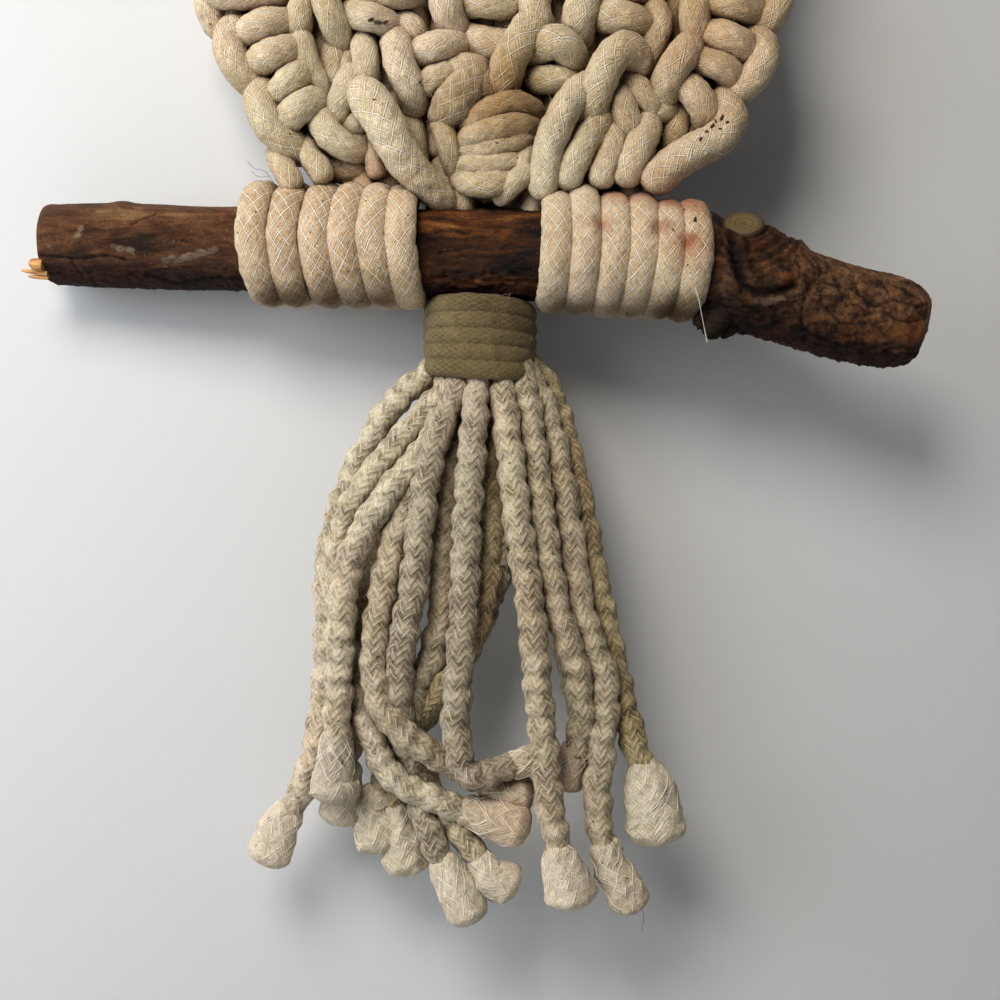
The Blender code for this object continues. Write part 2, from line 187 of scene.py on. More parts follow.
def eased(points, step):
    """Points about a step apart on one smooth curve through these, in their own units."""
    route = np.asarray(points, float)
    ends = np.vstack([2 * route[0] - route[1], route, 2 * route[-1] - route[-2]])
    runs = []
    for a, b, c, d in zip(ends, ends[1:], ends[2:], ends[3:]):
        t = np.linspace(0, 1, 24, endpoint=False)[:, None]
        runs.append(0.5 * (2 * b + (c - a) * t + (2 * a - 5 * b + 4 * c - d) * t**2
                           + (3 * b - a - 3 * c + d) * t**3))
    line = np.vstack([*runs, route[-1:]])
    reach = np.concatenate([[0], np.cumsum(np.linalg.norm(np.diff(line[:, :3], axis=0), axis=1))])
    at = np.linspace(0, reach[-1], max(6, round(reach[-1] / step)))
    return np.column_stack([np.interp(at, reach, line[:, k]) for k in range(line.shape[1])]), at


def unit(vectors):
    return vectors / np.maximum(np.linalg.norm(vectors, axis=1, keepdims=True), 1e-12)


def facing_frames(line, outward=None):
    """For each point, the direction along, the outward direction and the one across. Without a given
    outward the front (-Y) is carried along the line, so a cord never twists on itself."""
    along = unit(np.gradient(line, axis=0))
    if outward is None:
        out = np.empty_like(line)
        carried = np.array([0.0, -1.0, 0.02])
        for i, t in enumerate(along):
            carried = carried - t * carried.dot(t)
            carried /= np.linalg.norm(carried)
            out[i] = carried
    else:
        out = unit(outward - along * (outward * along).sum(axis=1, keepdims=True))
    return along, out, np.cross(along, out)


def lumps(points, size, seed):
    """Smooth noise from -1 to 1 at these points, with lumps of about this size in millimetres."""
    shift = Vector((seed * 3.7, seed * 1.3, -seed * 2.1))
    return np.array([noise.noise(Vector(p) / size + shift) for p in points])


# Braided cotton: eight yarns each way round the cord make long diamonds over soft puffs of filling
PICKS_ROUND = 8
PICK_LENGTH = 3.0
PUFF = 0.14  # how far a puff stands up between the yarns


def wound(route, width=CORD, deep=None, step=0.65, around=26, outward=None, crimp=0.0,
          wave=4.4, rough=0.10, swell=None, taper=1.6, seed=0, fuzz=0.35, picks=PICKS_ROUND,
          pick=PICK_LENGTH, puff=PUFF):
    """The skin of one cord: points in millimetres, faces and UVs. The U goes once round the cord and the
    V is the length in centimetres, which the braid's pattern is worked out from."""
    line, at = eased(route, step)
    if crimp:
        side = np.sin(at / wave * math.pi + seed)
        line[:, 0] += side * crimp * 0.9
    along, out, across = facing_frames(line, None if outward is None else outward(line))
    total = at[-1]
    half = np.full(len(at), width / 2)
    if swell is not None:
        share, size = zip(*swell)
        half = np.interp(at / total, share, size)
    if crimp:
        half = half * (1 + 0.30 * crimp * np.sin(at / wave * 2 * math.pi + 2 * seed))
    if taper:
        near = np.minimum(at, total - at) / taper
        half = half * np.sqrt(np.clip(1 - (1 - np.clip(near, 0, 1)) ** 2, 0.0004, 1))
    depth = half if deep is None else half * deep / (width / 2)
    turn = np.linspace(0, 2 * math.pi, around, endpoint=False) + math.pi
    skin = (line[:, None] + out[:, None] * (depth[:, None] * np.cos(turn))[..., None]
            + across[:, None] * (half[:, None] * np.sin(turn))[..., None])
    normal = unit((skin - line[:, None]).reshape(-1, 3))
    flat = skin.reshape(-1, 3)
    if rough:
        bump = lumps(flat, 2.6, seed) + 0.5 * lumps(flat, 1.1, seed + 5)
        flat = flat + normal * (bump * rough)[:, None]
    rows = len(at)
    if puff:
        rounds, lengths = np.arange(around)[None] / around * picks, at[:, None] / pick
        gaps = [np.abs((rounds + sign * lengths) % 1 - 0.5) * 2 for sign in (1, -1)]
        flat = flat + normal * (puff * (gaps[0] * gaps[1]) ** 0.7 - puff * 0.4).reshape(-1, 1)
    k = np.arange(rows - 1)[:, None] * around
    j = np.arange(around)[None]
    faces = np.stack([k + j, k + (j + 1) % around, k + around + (j + 1) % around, k + around + j], -1)
    u = np.broadcast_to(j / around, (rows - 1, around))
    v0 = np.broadcast_to(at[:-1, None] / 10, u.shape)
    v1 = np.broadcast_to(at[1:, None] / 10, u.shape)
    u1 = u + 1 / around
    uv = np.stack([u, v0, u1, v0, u1, v1, u, v1], -1).reshape(-1, 2)
    if fuzz:
        picked = rng.random(len(flat)) < fuzz * 0.05
        fuzz_roots.append((flat[picked], normal[picked], np.repeat(along, around, axis=0)[picked]))
    return flat, faces.reshape(-1, 4), uv


def cords_piece(name, skins, material):
    """One piece from several cords' skins."""
    points, faces, uvs, start = [], [], [], 0
    for flat, quads, uv in skins:
        points.append(flat * MM)
        faces.append(quads + start)
        uvs.append(uv)
        start += len(flat)
    return mesh_object(name, np.vstack(points), np.vstack(faces).tolist(), material, np.vstack(uvs))


# The braid's cotton, unbleached and soft with age: very matt, with a thin light yarn lying in each
# groove between the puffs, here single, there doubled, and painted shade in the grooves.
def braided_cotton(name, lit, shade, yarn, stains_and_shade=(), yarn_show=0.75, groove_shade=0.35, picks=PICKS_ROUND,
                   pick=PICK_LENGTH, yarn_wide=0.058, beside_by=0.2, plaited=False, tufts=0.35,
                   crevice_shade_tint="#7E5B38"):
    material, tree, shader, output = new_material(name)
    place = add_node(tree, "ShaderNodeTexCoord")
    uv = add_node(tree, "ShaderNodeSeparateXYZ", links={0: place.outputs["UV"]})
    wobble = add_node(tree, "ShaderNodeTexNoise", links={"Vector": place.outputs["Object"]},
                      values={"Scale": 420.0, "Detail": 2.0})
    drift = add_node(tree, "ShaderNodeMath", {"operation": "MULTIPLY_ADD"}, {0: wobble.outputs["Fac"]},
                     {1: 0.3, 2: -0.15})
    turns = add_node(tree, "ShaderNodeMath", {"operation": "MULTIPLY_ADD"},
                     {0: uv.outputs["X"], 2: drift.outputs[0]}, {1: float(picks)})
    length = add_node(tree, "ShaderNodeMath", {"operation": "MULTIPLY"}, {0: uv.outputs["Y"]},
                      {1: 10.0 / pick})
    ways = []
    for kind in ("ADD", "SUBTRACT"):
        helix = add_node(tree, "ShaderNodeMath", {"operation": kind},
                         {0: turns.outputs[0], 1: length.outputs[0]})
        across = add_node(tree, "ShaderNodeMath", {"operation": "FRACT"}, {0: helix.outputs[0]})
        from_line = add_node(tree, "ShaderNodeMath", {"operation": "SUBTRACT"}, {0: across.outputs[0]},
                             {1: 0.5})
        off_line = add_node(tree, "ShaderNodeMath", {"operation": "ABSOLUTE"}, {0: from_line.outputs[0]})
        single = add_node(tree, "ShaderNodeMapRange", {"interpolation_type": "SMOOTHSTEP"},
                          {"Value": off_line.outputs[0]},
                          {"From Min": yarn_wide * 0.55, "From Max": yarn_wide * 1.35, "To Min": 1.0,
                           "To Max": 0.0})
        beside = add_node(tree, "ShaderNodeMath", {"operation": "SUBTRACT"}, {0: from_line.outputs[0]},
                          {1: beside_by})
        beside_far = add_node(tree, "ShaderNodeMath", {"operation": "ABSOLUTE"}, {0: beside.outputs[0]})
        double = add_node(tree, "ShaderNodeMapRange", {"interpolation_type": "SMOOTHSTEP"},
                          {"Value": beside_far.outputs[0]},
                          {"From Min": yarn_wide * 0.4, "From Max": yarn_wide * 1.1, "To Min": 1.0,
                           "To Max": 0.0})
        shadow = add_node(tree, "ShaderNodeMapRange", {"interpolation_type": "SMOOTHSTEP"},
                          {"Value": off_line.outputs[0]},
                          {"From Min": yarn_wide * 1.6, "From Max": yarn_wide * 3.6, "To Min": 1.0,
                           "To Max": 0.0})
        cell = add_node(tree, "ShaderNodeMath", {"operation": "FLOOR"}, {0: helix.outputs[0]})
        spun = add_node(tree, "ShaderNodeMath", {"operation": "MULTIPLY"}, {0: helix.outputs[0]},
                        {1: 5 * 2 * math.pi})
        fine = add_node(tree, "ShaderNodeMath", {"operation": "SINE"}, {0: spun.outputs[0]})
        ways.append((single, double, cell, fine, off_line, shadow))
    # Plaited tight, each yarn passes over two and under two, so columns of V run down the cord
    crossing = add_node(tree, "ShaderNodeMath", {"operation": "ADD"},
                        {0: ways[0][2].outputs[0], 1: ways[1][2].outputs[0]})
    quarter = add_node(tree, "ShaderNodeMath", {"operation": "MULTIPLY"}, {0: crossing.outputs[0]}, {1: 0.25})
    phase = add_node(tree, "ShaderNodeMath", {"operation": "FRACT"}, {0: quarter.outputs[0]})
    over = add_node(tree, "ShaderNodeMath", {"operation": "LESS_THAN"}, {0: phase.outputs[0]}, {1: 0.4})
    below = add_node(tree, "ShaderNodeMath", {"operation": "SUBTRACT"}, {1: over.outputs[0]}, {0: 1.0})
    shown = []
    for mine, other, seed, on_top in ((ways[0], ways[1], 0.3, over), (ways[1], ways[0], 7.7, below)):
        for line, least, most, offset in ((mine[0], -0.5, 0.6, 0.0), (mine[1], 0.4, 1.05, 3.1)):
            spot = add_node(tree, "ShaderNodeCombineXYZ",
                            links={0: mine[2].outputs[0], 1: other[2].outputs[0]},
                            values={2: seed + offset})
            chance = add_node(tree, "ShaderNodeTexWhiteNoise", {"noise_dimensions": "3D"},
                              {"Vector": spot.outputs[0]})
            kept = add_node(tree, "ShaderNodeMapRange", {}, {"Value": chance.outputs["Value"]},
                            {"From Min": least, "From Max": most, "To Min": 0.0, "To Max": 1.0})
            seen = add_node(tree, "ShaderNodeMath", {"operation": "MULTIPLY"},
                            {0: line.outputs["Result"], 1: kept.outputs["Result"]})
            if plaited:
                seen = add_node(tree, "ShaderNodeMath", {"operation": "MULTIPLY"},
                                {0: seen.outputs[0], 1: on_top.outputs[0]})
            shown.append(seen)
    pairs = [add_node(tree, "ShaderNodeMath", {"operation": "MAXIMUM"},
                      {0: shown[i].outputs[0], 1: shown[i + 1].outputs[0]}) for i in (0, 2)]
    yarns = add_node(tree, "ShaderNodeMath", {"operation": "MAXIMUM"},
                     {0: pairs[0].outputs[0], 1: pairs[1].outputs[0]})
    puffs = add_node(tree, "ShaderNodeMath", {"operation": "MULTIPLY"},
                     {0: ways[0][4].outputs[0], 1: ways[1][4].outputs[0]})
    if plaited:
        tops = [add_node(tree, "ShaderNodeMath", {"operation": "MULTIPLY"},
                         {0: way[4].outputs[0], 1: top.outputs[0]}) for way, top in zip(ways, (over, below))]
        off_top = add_node(tree, "ShaderNodeMath", {"operation": "ADD"},
                           {0: tops[0].outputs[0], 1: tops[1].outputs[0]})
        square = add_node(tree, "ShaderNodeMath", {"operation": "POWER"}, {0: off_top.outputs[0]}, {1: 2.0})
        puffs = add_node(tree, "ShaderNodeMath", {"operation": "SUBTRACT"}, {1: square.outputs[0]}, {0: 0.25})
    weave = add_node(tree, "ShaderNodeMath", {"operation": "ADD"},
                     {0: ways[0][3].outputs[0], 1: ways[1][3].outputs[0]})
    patch = add_node(tree, "ShaderNodeTexNoise", links={"Vector": place.outputs["Object"]},
                     values={"Scale": 60.0, "Detail": 5.0, "Roughness": 0.62})
    patchy = add_node(tree, "ShaderNodeMapRange", {}, {"Value": patch.outputs["Fac"]},
                      {"From Min": 0.36, "From Max": 0.64})
    cotton = add_node(tree, "ShaderNodeMix", {"data_type": "RGBA"}, {0: patchy.outputs["Result"]},
                      {6: linear(shade), 7: linear(lit)})
    groove = add_node(tree, "ShaderNodeMapRange", {}, {"Value": puffs.outputs[0]},
                      {"From Min": 0.0, "From Max": 0.05, "To Min": groove_shade, "To Max": 0.0})
    tuft = add_node(tree, "ShaderNodeTexNoise", links={"Vector": place.outputs["Object"]},
                    values={"Scale": 380.0, "Detail": 3.0, "Roughness": 0.6})
    tufty = add_node(tree, "ShaderNodeMapRange", {}, {"Value": tuft.outputs["Fac"]},
                     {"From Min": 0.36, "From Max": 0.62, "To Min": tufts, "To Max": 0.0})
    cotton = add_node(tree, "ShaderNodeMix", {"data_type": "RGBA", "blend_type": "MULTIPLY"},
                      {0: tufty.outputs["Result"], 6: cotton.outputs[2]}, {7: linear("#A59E90")})
    tint = add_node(tree, "ShaderNodeTexNoise", links={"Vector": place.outputs["Object"]},
                    values={"Scale": 34.0, "Detail": 2.0})
    rosy = add_node(tree, "ShaderNodeMapRange", {}, {"Value": tint.outputs["Fac"]},
                    {"From Min": 0.40, "From Max": 0.62})
    hue = add_node(tree, "ShaderNodeMix", {"data_type": "RGBA"}, {0: rosy.outputs["Result"]},
                   {6: linear("#FBFBF2"), 7: linear("#FFF5EF")})
    hued = add_node(tree, "ShaderNodeMix", {"data_type": "RGBA", "blend_type": "MULTIPLY"},
                    {6: cotton.outputs[2], 7: hue.outputs[2]}, {0: 1.0})
    # Painted shade: the cotton is darkened in the grooves between the puffs and beside each yarn
    edges = add_node(tree, "ShaderNodeMath", {"operation": "MAXIMUM"},
                     {0: ways[0][5].outputs["Result"], 1: ways[1][5].outputs["Result"]})
    sunk = add_node(tree, "ShaderNodeMath", {"operation": "MULTIPLY"},
                    {0: edges.outputs[0], 1: patchy.outputs["Result"]})
    sunken = add_node(tree, "ShaderNodeMath", {"operation": "MULTIPLY_ADD"}, {0: sunk.outputs[0],
                      2: groove.outputs["Result"]}, {1: groove_shade * 0.45})
    groove_shaded = add_node(tree, "ShaderNodeMix", {"data_type": "RGBA", "blend_type": "MULTIPLY"},
                     {0: sunken.outputs[0], 6: hued.outputs[2]}, {7: linear("#A39680")})
    down = add_node(tree, "ShaderNodeTexNoise", links={"Vector": place.outputs["Object"]},
                    values={"Scale": 1900.0, "Detail": 3.0, "Roughness": 0.7})
    mottle = add_node(tree, "ShaderNodeMath", {"operation": "MULTIPLY_ADD"}, {0: weave.outputs[0],
                      2: down.outputs["Fac"]}, {1: 0.045})
    dark = add_node(tree, "ShaderNodeMapRange", {}, {"Value": mottle.outputs[0]},
                    {"From Min": 0.34, "From Max": 0.60, "To Min": 0.55, "To Max": 0.0})
    soiled = add_node(tree, "ShaderNodeMix", {"data_type": "RGBA", "blend_type": "MULTIPLY"},
                      {0: dark.outputs["Result"], 6: groove_shaded.outputs[2]}, {7: linear("#A39274")})
    light_yarn = add_node(tree, "ShaderNodeMath", {"operation": "MULTIPLY"}, {0: yarns.outputs[0]},
                          {1: yarn_show})
    colour = add_node(tree, "ShaderNodeMix", {"data_type": "RGBA"},
                      {0: light_yarn.outputs[0], 6: soiled.outputs[2]}, {7: linear(yarn)})
    # Each tint colours a round patch: real stains, and in some places painted shade
    for middle, reach, tint, strength in stains_and_shade:
        away = add_node(tree, "ShaderNodeVectorMath", {"operation": "DISTANCE"},
                        {0: place.outputs["Object"]}, {1: [c * MM for c in middle]})
        ragged = add_node(tree, "ShaderNodeMath", {"operation": "MULTIPLY_ADD"},
                          {0: patch.outputs["Fac"], 2: away.outputs["Value"]}, {1: reach * MM * 0.9})
        stain_and_shade = add_node(tree, "ShaderNodeMapRange", {"interpolation_type": "SMOOTHSTEP"},
                          {"Value": ragged.outputs[0]},
                          {"From Min": reach * MM * 0.5, "From Max": reach * MM * 1.4,
                           "To Min": strength, "To Max": 0.0})
        colour = add_node(tree, "ShaderNodeMix", {"data_type": "RGBA", "blend_type": "MULTIPLY"},
                          {0: stain_and_shade.outputs["Result"], 6: colour.outputs[2]}, {7: linear(tint)})
    # Painted shade: the cotton is darkened and browned deep between the cords, where the AO node finds it
    # closed in
    hollow = add_node(tree, "ShaderNodeAmbientOcclusion", {"samples": 6}, values={"Distance": 0.0045})
    deep = add_node(tree, "ShaderNodeMapRange", {}, {"Value": hollow.outputs["AO"]},
                    {"From Min": 0.08, "From Max": 0.57, "To Min": 0.94, "To Max": 0.0})
    crevice_shaded = add_node(tree, "ShaderNodeMix", {"data_type": "RGBA", "blend_type": "MULTIPLY"},
                       {0: deep.outputs["Result"], 6: colour.outputs[2]}, {7: linear(crevice_shade_tint)})
    tree.links.new(crevice_shaded.outputs[2], shader.inputs["Base Color"])
    height = add_node(tree, "ShaderNodeMath", {"operation": "MULTIPLY_ADD"},
                      {0: puffs.outputs[0], 2: yarns.outputs[0]}, {1: 2.5})
    fluffy = add_node(tree, "ShaderNodeMath", {"operation": "MULTIPLY_ADD"},
                      {0: mottle.outputs[0], 2: height.outputs[0]}, {1: 1.6})
    bump = add_node(tree, "ShaderNodeBump", {}, {"Height": fluffy.outputs[0]},
                    {"Strength": 0.9, "Distance": 0.00026})
    tree.links.new(bump.outputs["Normal"], shader.inputs["Normal"])
    shader.inputs["Roughness"].default_value = 0.95
    shader.inputs["Specular IOR Level"].default_value = 0.2
    shader.inputs["Sheen Weight"].default_value = 0.12
    shader.inputs["Sheen Roughness"].default_value = 0.6
    shader.inputs["Sheen Tint"].default_value = linear("#F3EAD6")
    return material


# Single spun yarns at a cut end: uncombed, silky cotton, paler than the braid they came out of.
def loose_cotton(name, pale, dim):
    material, tree, shader, output = new_material(name)
    place = add_node(tree, "ShaderNodeTexCoord")
    patch = add_node(tree, "ShaderNodeTexNoise", links={"Vector": place.outputs["Object"]},
                     values={"Scale": 160.0, "Detail": 5.0, "Roughness": 0.62})
    stretch = add_node(tree, "ShaderNodeMapping", links={"Vector": place.outputs["UV"]},
                       values={"Scale": (26.0, 3.0, 1.0)})
    strands = add_node(tree, "ShaderNodeTexNoise", links={"Vector": stretch.outputs["Vector"]},
                       values={"Scale": 1.6, "Detail": 4.0, "Distortion": 0.6})
    both = add_node(tree, "ShaderNodeMath", {"operation": "MULTIPLY_ADD"},
                    {0: strands.outputs["Fac"], 2: patch.outputs["Fac"]}, {1: 0.7})
    shade = add_node(tree, "ShaderNodeMapRange", {}, {"Value": both.outputs[0]},
                     {"From Min": 0.66, "From Max": 1.02})
    colour = add_node(tree, "ShaderNodeMix", {"data_type": "RGBA"}, {0: shade.outputs["Result"]},
                      {6: linear(dim), 7: linear(pale)})
    tree.links.new(colour.outputs[2], shader.inputs["Base Color"])
    bump = add_node(tree, "ShaderNodeBump", {}, {"Height": both.outputs[0]},
                    {"Strength": 0.55, "Distance": 0.0005})
    tree.links.new(bump.outputs["Normal"], shader.inputs["Normal"])
    shader.inputs["Roughness"].default_value = 0.9
    shader.inputs["Sheen Weight"].default_value = 0.35
    shader.inputs["Sheen Roughness"].default_value = 0.5
    return material


TASSEL_PICKS = 12
TASSEL_PICK = 1.75
TASSEL_PUFF = 0.1
crimped = {"groove_shade": 0.55, "picks": TASSEL_PICKS, "pick": TASSEL_PICK, "yarn_wide": 0.075, "beside_by": 0.27,
           "plaited": True, "tufts": 1.0, "yarn_show": 0.7}
tassel_cotton = braided_cotton("braided_cotton_aged", "#F0E5CB", "#CCBEA0", "#FFFBEC", **crimped)
pale_cotton = braided_cotton("braided_cotton_pale", "#FFF7E2", "#E8DCC0", "#FFFEF6", **crimped)
grey_cotton = braided_cotton("braided_cotton_greyed", "#DCD2BF", "#B0A48D", "#F7F1E2", **crimped)
golden_cotton = braided_cotton("braided_cotton_golden", "#E6D6AC", "#BFAA7C", "#FFF6D8", **crimped)
# Some cords have worn differently from the rest: bleached, greyed by dust, or yellowed
WORN = {
    "left_front": grey_cotton, "left_sweep": pale_cotton, "left_outer": pale_cotton,
    "left_bold": pale_cotton, "middle_back": golden_cotton, "middle_right": grey_cotton,
    "front_middle": grey_cotton, "right_outer": golden_cotton,
}
# At a cut end the same yarns loosen into long open V shapes over the swelling filling
loosened = {"groove_shade": 0.25, "picks": 12, "pick": 3.4, "yarn_wide": 0.07, "beside_by": 0.3, "plaited": True,
            "tufts": 0.2, "yarn_show": 0.6}
puff_cream = braided_cotton("loosened_cotton_cream", "#F3ECDC", "#DAD0BA", "#FFFBEC", **loosened)
puff_grey = braided_cotton("loosened_cotton_grey", "#DDD8C9", "#B4AE9D", "#F6F2E6", **loosened)
light_yarn = loose_cotton("spun_cotton_yarn", "#FFF9E6", "#EADFC4")
puff_rosy = braided_cotton("loosened_cotton_rosy", "#EEE0CC", "#D2C0A7", "#FFF9EA", **loosened)

# Each cord's route from inside the gathering wrap: X, Y, Z in millimetres
STRANDS = {
    "front_middle": (
        (-4.0, -1.8, -108), (-4.5, -3.5, -117), (-5.5, -7.0, -130), (-6.5, -8.5, -145),
        (-7.0, -9.0, -160), (-8.2, -8.5, -175), (-8.5, -8.0, -187), (-5.5, -7.5, -194.5),
        (0.5, -6.0, -193.0), (7.0, -4.5, -191.5),
    ),
    "front_right": (
        (0.0, -1.0, -108), (0.5, -3.0, -118), (2.0, -6.5, -131), (3.8, -8.5, -146),
        (6.0, -9.0, -161), (7.3, -8.5, -176), (8.8, -7.5, -189), (10.0, -6.5, -201),
        (12.5, -6.0, -213),
    ),
    "right_short": (
        (2.0, 1.0, -108), (5.0, -1.2, -118), (7.0, -4.0, -132), (8.6, -6.0, -146),
        (11.0, -6.5, -160), (15.0, -5.5, -173), (16.2, -3.0, -185), (14.5, 0.0, -194),
    ),
    "right_long": (
        (2.4, 4.2, -108), (8.5, 1.5, -120), (12.0, -1.5, -134), (14.2, -3.5, -149),
        (16.5, -4.0, -163), (21.0, -3.5, -176), (20.3, -3.0, -190), (19.5, -3.0, -202),
        (22.0, -3.0, -213),
    ),
    "right_outer": (
        (2.0, 7.0, -108), (9.5, 6.0, -116.5), (14.0, 3.0, -130), (17.5, 1.0, -147),
        (20.5, 0.5, -162), (24.0, 0.5, -177), (26.5, 0.0, -187), (30.0, 0.0, -197),
    ),
    "left_front": (
        (-7.5, -0.5, -108), (-8.5, -2.5, -117), (-13.0, -6.0, -129), (-15.5, -8.0, -143),
        (-17.0, -8.5, -157), (-19.5, -7.5, -171), (-20.0, -5.0, -182), (-18.5, -1.0, -191),
        (-16.0, -1.5, -200), (-13.5, -3.0, -208), (-9.5, -4.0, -216),
    ),
    "left_sweep": (
        (-9.0, 2.0, -108), (-11.5, 0.5, -118), (-20.0, -1.5, -128), (-28.5, -2.0, -139),
        (-32.3, -1.5, -150), (-32.3, -1.0, -163), (-29.5, -1.0, -176), (-25.5, -2.5, -188),
        (-21.0, -3.5, -195.5), (-12.0, -4.0, -200), (-3.0, -4.0, -203),
    ),
    "left_outer": (
        (-9.0, 5.5, -108), (-14.5, 4.0, -114), (-22.5, 2.5, -121.5), (-31.0, 1.5, -138),
        (-34.7, 1.5, -152), (-35.0, 1.5, -168), (-36.0, 1.0, -183), (-39.0, 0.0, -196),
        (-44.5, -1.0, -206),
    ),
    "left_bold": (
        (-6.5, 1.5, -108), (-9.5, -1.0, -119), (-15.0, -4.0, -130), (-20.0, -6.0, -136),
        (-26.0, -7.0, -144.5), (-30.0, -7.0, -154), (-31.3, -7.0, -166), (-32.0, -6.0, -178),
        (-32.5, -5.0, -188), (-33.0, -5.0, -196),
    ),
    "left_hook": (
        (-5.0, 1.0, -108), (-9.0, -1.0, -120), (-15.0, -3.5, -133), (-20.0, -5.0, -145),
        (-23.0, -6.0, -157), (-24.8, -6.5, -170), (-23.5, -7.0, -180), (-18.0, -6.5, -187),
        (-11.0, -3.5, -192), (-4.0, -2.0, -196), (1.0, -2.0, -199),
    ),
    "middle_cross": (
        (-6.0, 4.0, -108), (-8.0, 1.0, -120), (-10.3, -1.0, -134), (-11.5, -2.5, -148),
        (-11.5, -3.0, -161), (-13.5, -3.0, -171), (-17.0, -2.5, -177), (-18.0, -1.0, -188),
        (-14.0, 0.0, -199), (-9.0, -1.5, -205), (-2.0, -3.0, -215.5),
    ),
    "middle_back": (
        (-3.0, 4.0, -108), (-2.3, 1.0, -120), (-2.0, -1.5, -135), (-2.2, -3.0, -148),
        (-3.5, -3.0, -161), (-8.0, -2.0, -172), (-12.0, -1.5, -177.5), (-18.0, 0.5, -186),
        (-21.0, 2.0, -196), (-21.0, 2.0, -206),
    ),
    "middle_right": (
        (-1.0, 6.0, -108), (0.0, 4.0, -120), (0.5, 0.0, -137), (0.2, -1.0, -150),
        (-3.0, 0.5, -162), (-10.0, 1.5, -176), (-20.0, 2.0, -190), (-26.5, 2.0, -203),
    ),
    "back_left": (
        (-8.0, 8.0, -108), (-13.0, 9.0, -120), (-21.0, 7.0, -138), (-26.5, 5.0, -158),
        (-29.0, 4.0, -178), (-32.0, 2.0, -198),
    ),
    "back_right": (
        (0.0, 8.5, -108), (3.0, 9.5, -122), (8.0, 7.0, -140), (11.0, 4.5, -158),
        (14.0, 3.0, -172), (18.0, 3.5, -188),
    ),
}
# Each cut end's bulb of loose cotton: the way it hangs from the cord's end, how wide it swells and its
# length in millimetres, its cotton, and how tattered it is (0 to 1)
BULBS = {
    "front_middle": ((3.0, 0.4, 0.6), 2.9, puff_rosy, 0.0),
    "front_right": ((2.2, 0.4, -8.0), 5.4, puff_cream, 0.3),
    "right_short": ((-1.5, 1.0, -5.0), 3.2, puff_rosy, 0.0),
    "right_long": ((5.2, -0.4, -9.5), 3.9, puff_cream, 0.8),
    "right_outer": ((1.8, 0.0, -13.0), 6.4, puff_cream, 0.6),
    "left_front": ((4.0, -0.4, -8.5), 4.4, puff_cream, 0.2),
    "left_sweep": ((9.0, -0.6, -3.0), 4.5, puff_rosy, 0.1),
    "left_outer": ((-3.2, -0.5, -7.5), 4.8, puff_cream, 0.2),
    "left_bold": ((0.2, -1.0, -4.5), 5.3, puff_grey, 0.0),
    "left_hook": ((6.0, 0.3, 0.2), 4.3, puff_rosy, 0.1),
    "middle_cross": ((5.6, 0.5, -2.6), 4.4, puff_cream, 0.3),
    "middle_back": ((2.6, 0.0, -10.5), 5.0, puff_cream, 1.0),
    "middle_right": ((2.2, 0.0, -9.0), 5.0, puff_cream, 1.0),
    "back_left": ((-0.6, 0.0, -8.5), 4.8, puff_cream, 0.0),
    "back_right": ((0.5, 0.5, -9.0), 3.4, puff_rosy, 0.3),
}
HOLD = 6.5  # how far up its cord the braid starts to loosen, in millimetres


def bulb_skin(route, run, wide, tattered, seed, hold=HOLD):
    """A soft bag of cotton that swells slowly out of the cord's last stretch and rounds off."""
    path, at = eased(route, 0.8)
    held = [[np.interp(at[-1] - back, at, path[:, k]) for k in range(3)]
            for back in np.linspace(hold, 2.2, max(2, round(hold / 2.2)))]
    start, run = path[-1], np.asarray(run, float)
    reach = np.linalg.norm(run)
    route = [*held, start, start + run * 0.5 + [0.2, 0, 0.15], start + run]
    length = hold + reach
    swell = ((0, CORD * 0.38), (hold * 0.25 / length, CORD * 0.535),
             (hold / length, 0.45 * CORD * 0.56 + 0.55 * wide),
             (0.82, wide), (0.93, wide * 0.96), (1.0, wide * 0.9))
    return wound(route, step=0.45, around=36, swell=swell, deep=CORD * 0.43, taper=wide * 0.62,
                 rough=0.34 + 0.5 * tattered, seed=seed, fuzz=2.0 + 3.0 * tattered, puff=0)


def splayed_yarns(skin, around, count, seed):
    """The yarns of the braid run on over the bulb in two crossing sets, then spread and let go."""
    draw = np.random.default_rng(seed)
    grid = skin[0].reshape(-1, around, 3)
    middle = grid.mean(axis=1, keepdims=True)
    grid = grid + unit((grid - middle).reshape(-1, 3)).reshape(grid.shape) * 0.05
    rows = len(grid)
    skins = []
    for k in range(count):
        first = draw.uniform(0.10, 0.28) * rows
        last = min(first + draw.choice((0.3, 0.42, 0.6)) * draw.uniform(0.7, 1.25) * rows, rows - 4)
        way = 1 if k % 2 else -1
        column = (k + draw.uniform(-0.3, 0.3)) * around / count * 2
        sweep = way * (last - first) * 0.4 / (TASSEL_PICKS * TASSEL_PICK) * around * draw.uniform(0.75, 1.0)
        route = []
        for share in np.linspace(0, 1, 7):
            row = first + (last - first) * share
            at = (column + sweep * share) % around
            i, j, f = int(row), int(at), at % 1
            route.append(grid[i, j % around] * (1 - f) + grid[i, (j + 1) % around] * f)
        skins.append(wound(route, width=0.19, step=0.6, around=5, rough=0, taper=0.3, fuzz=0, puff=0))
    return skins


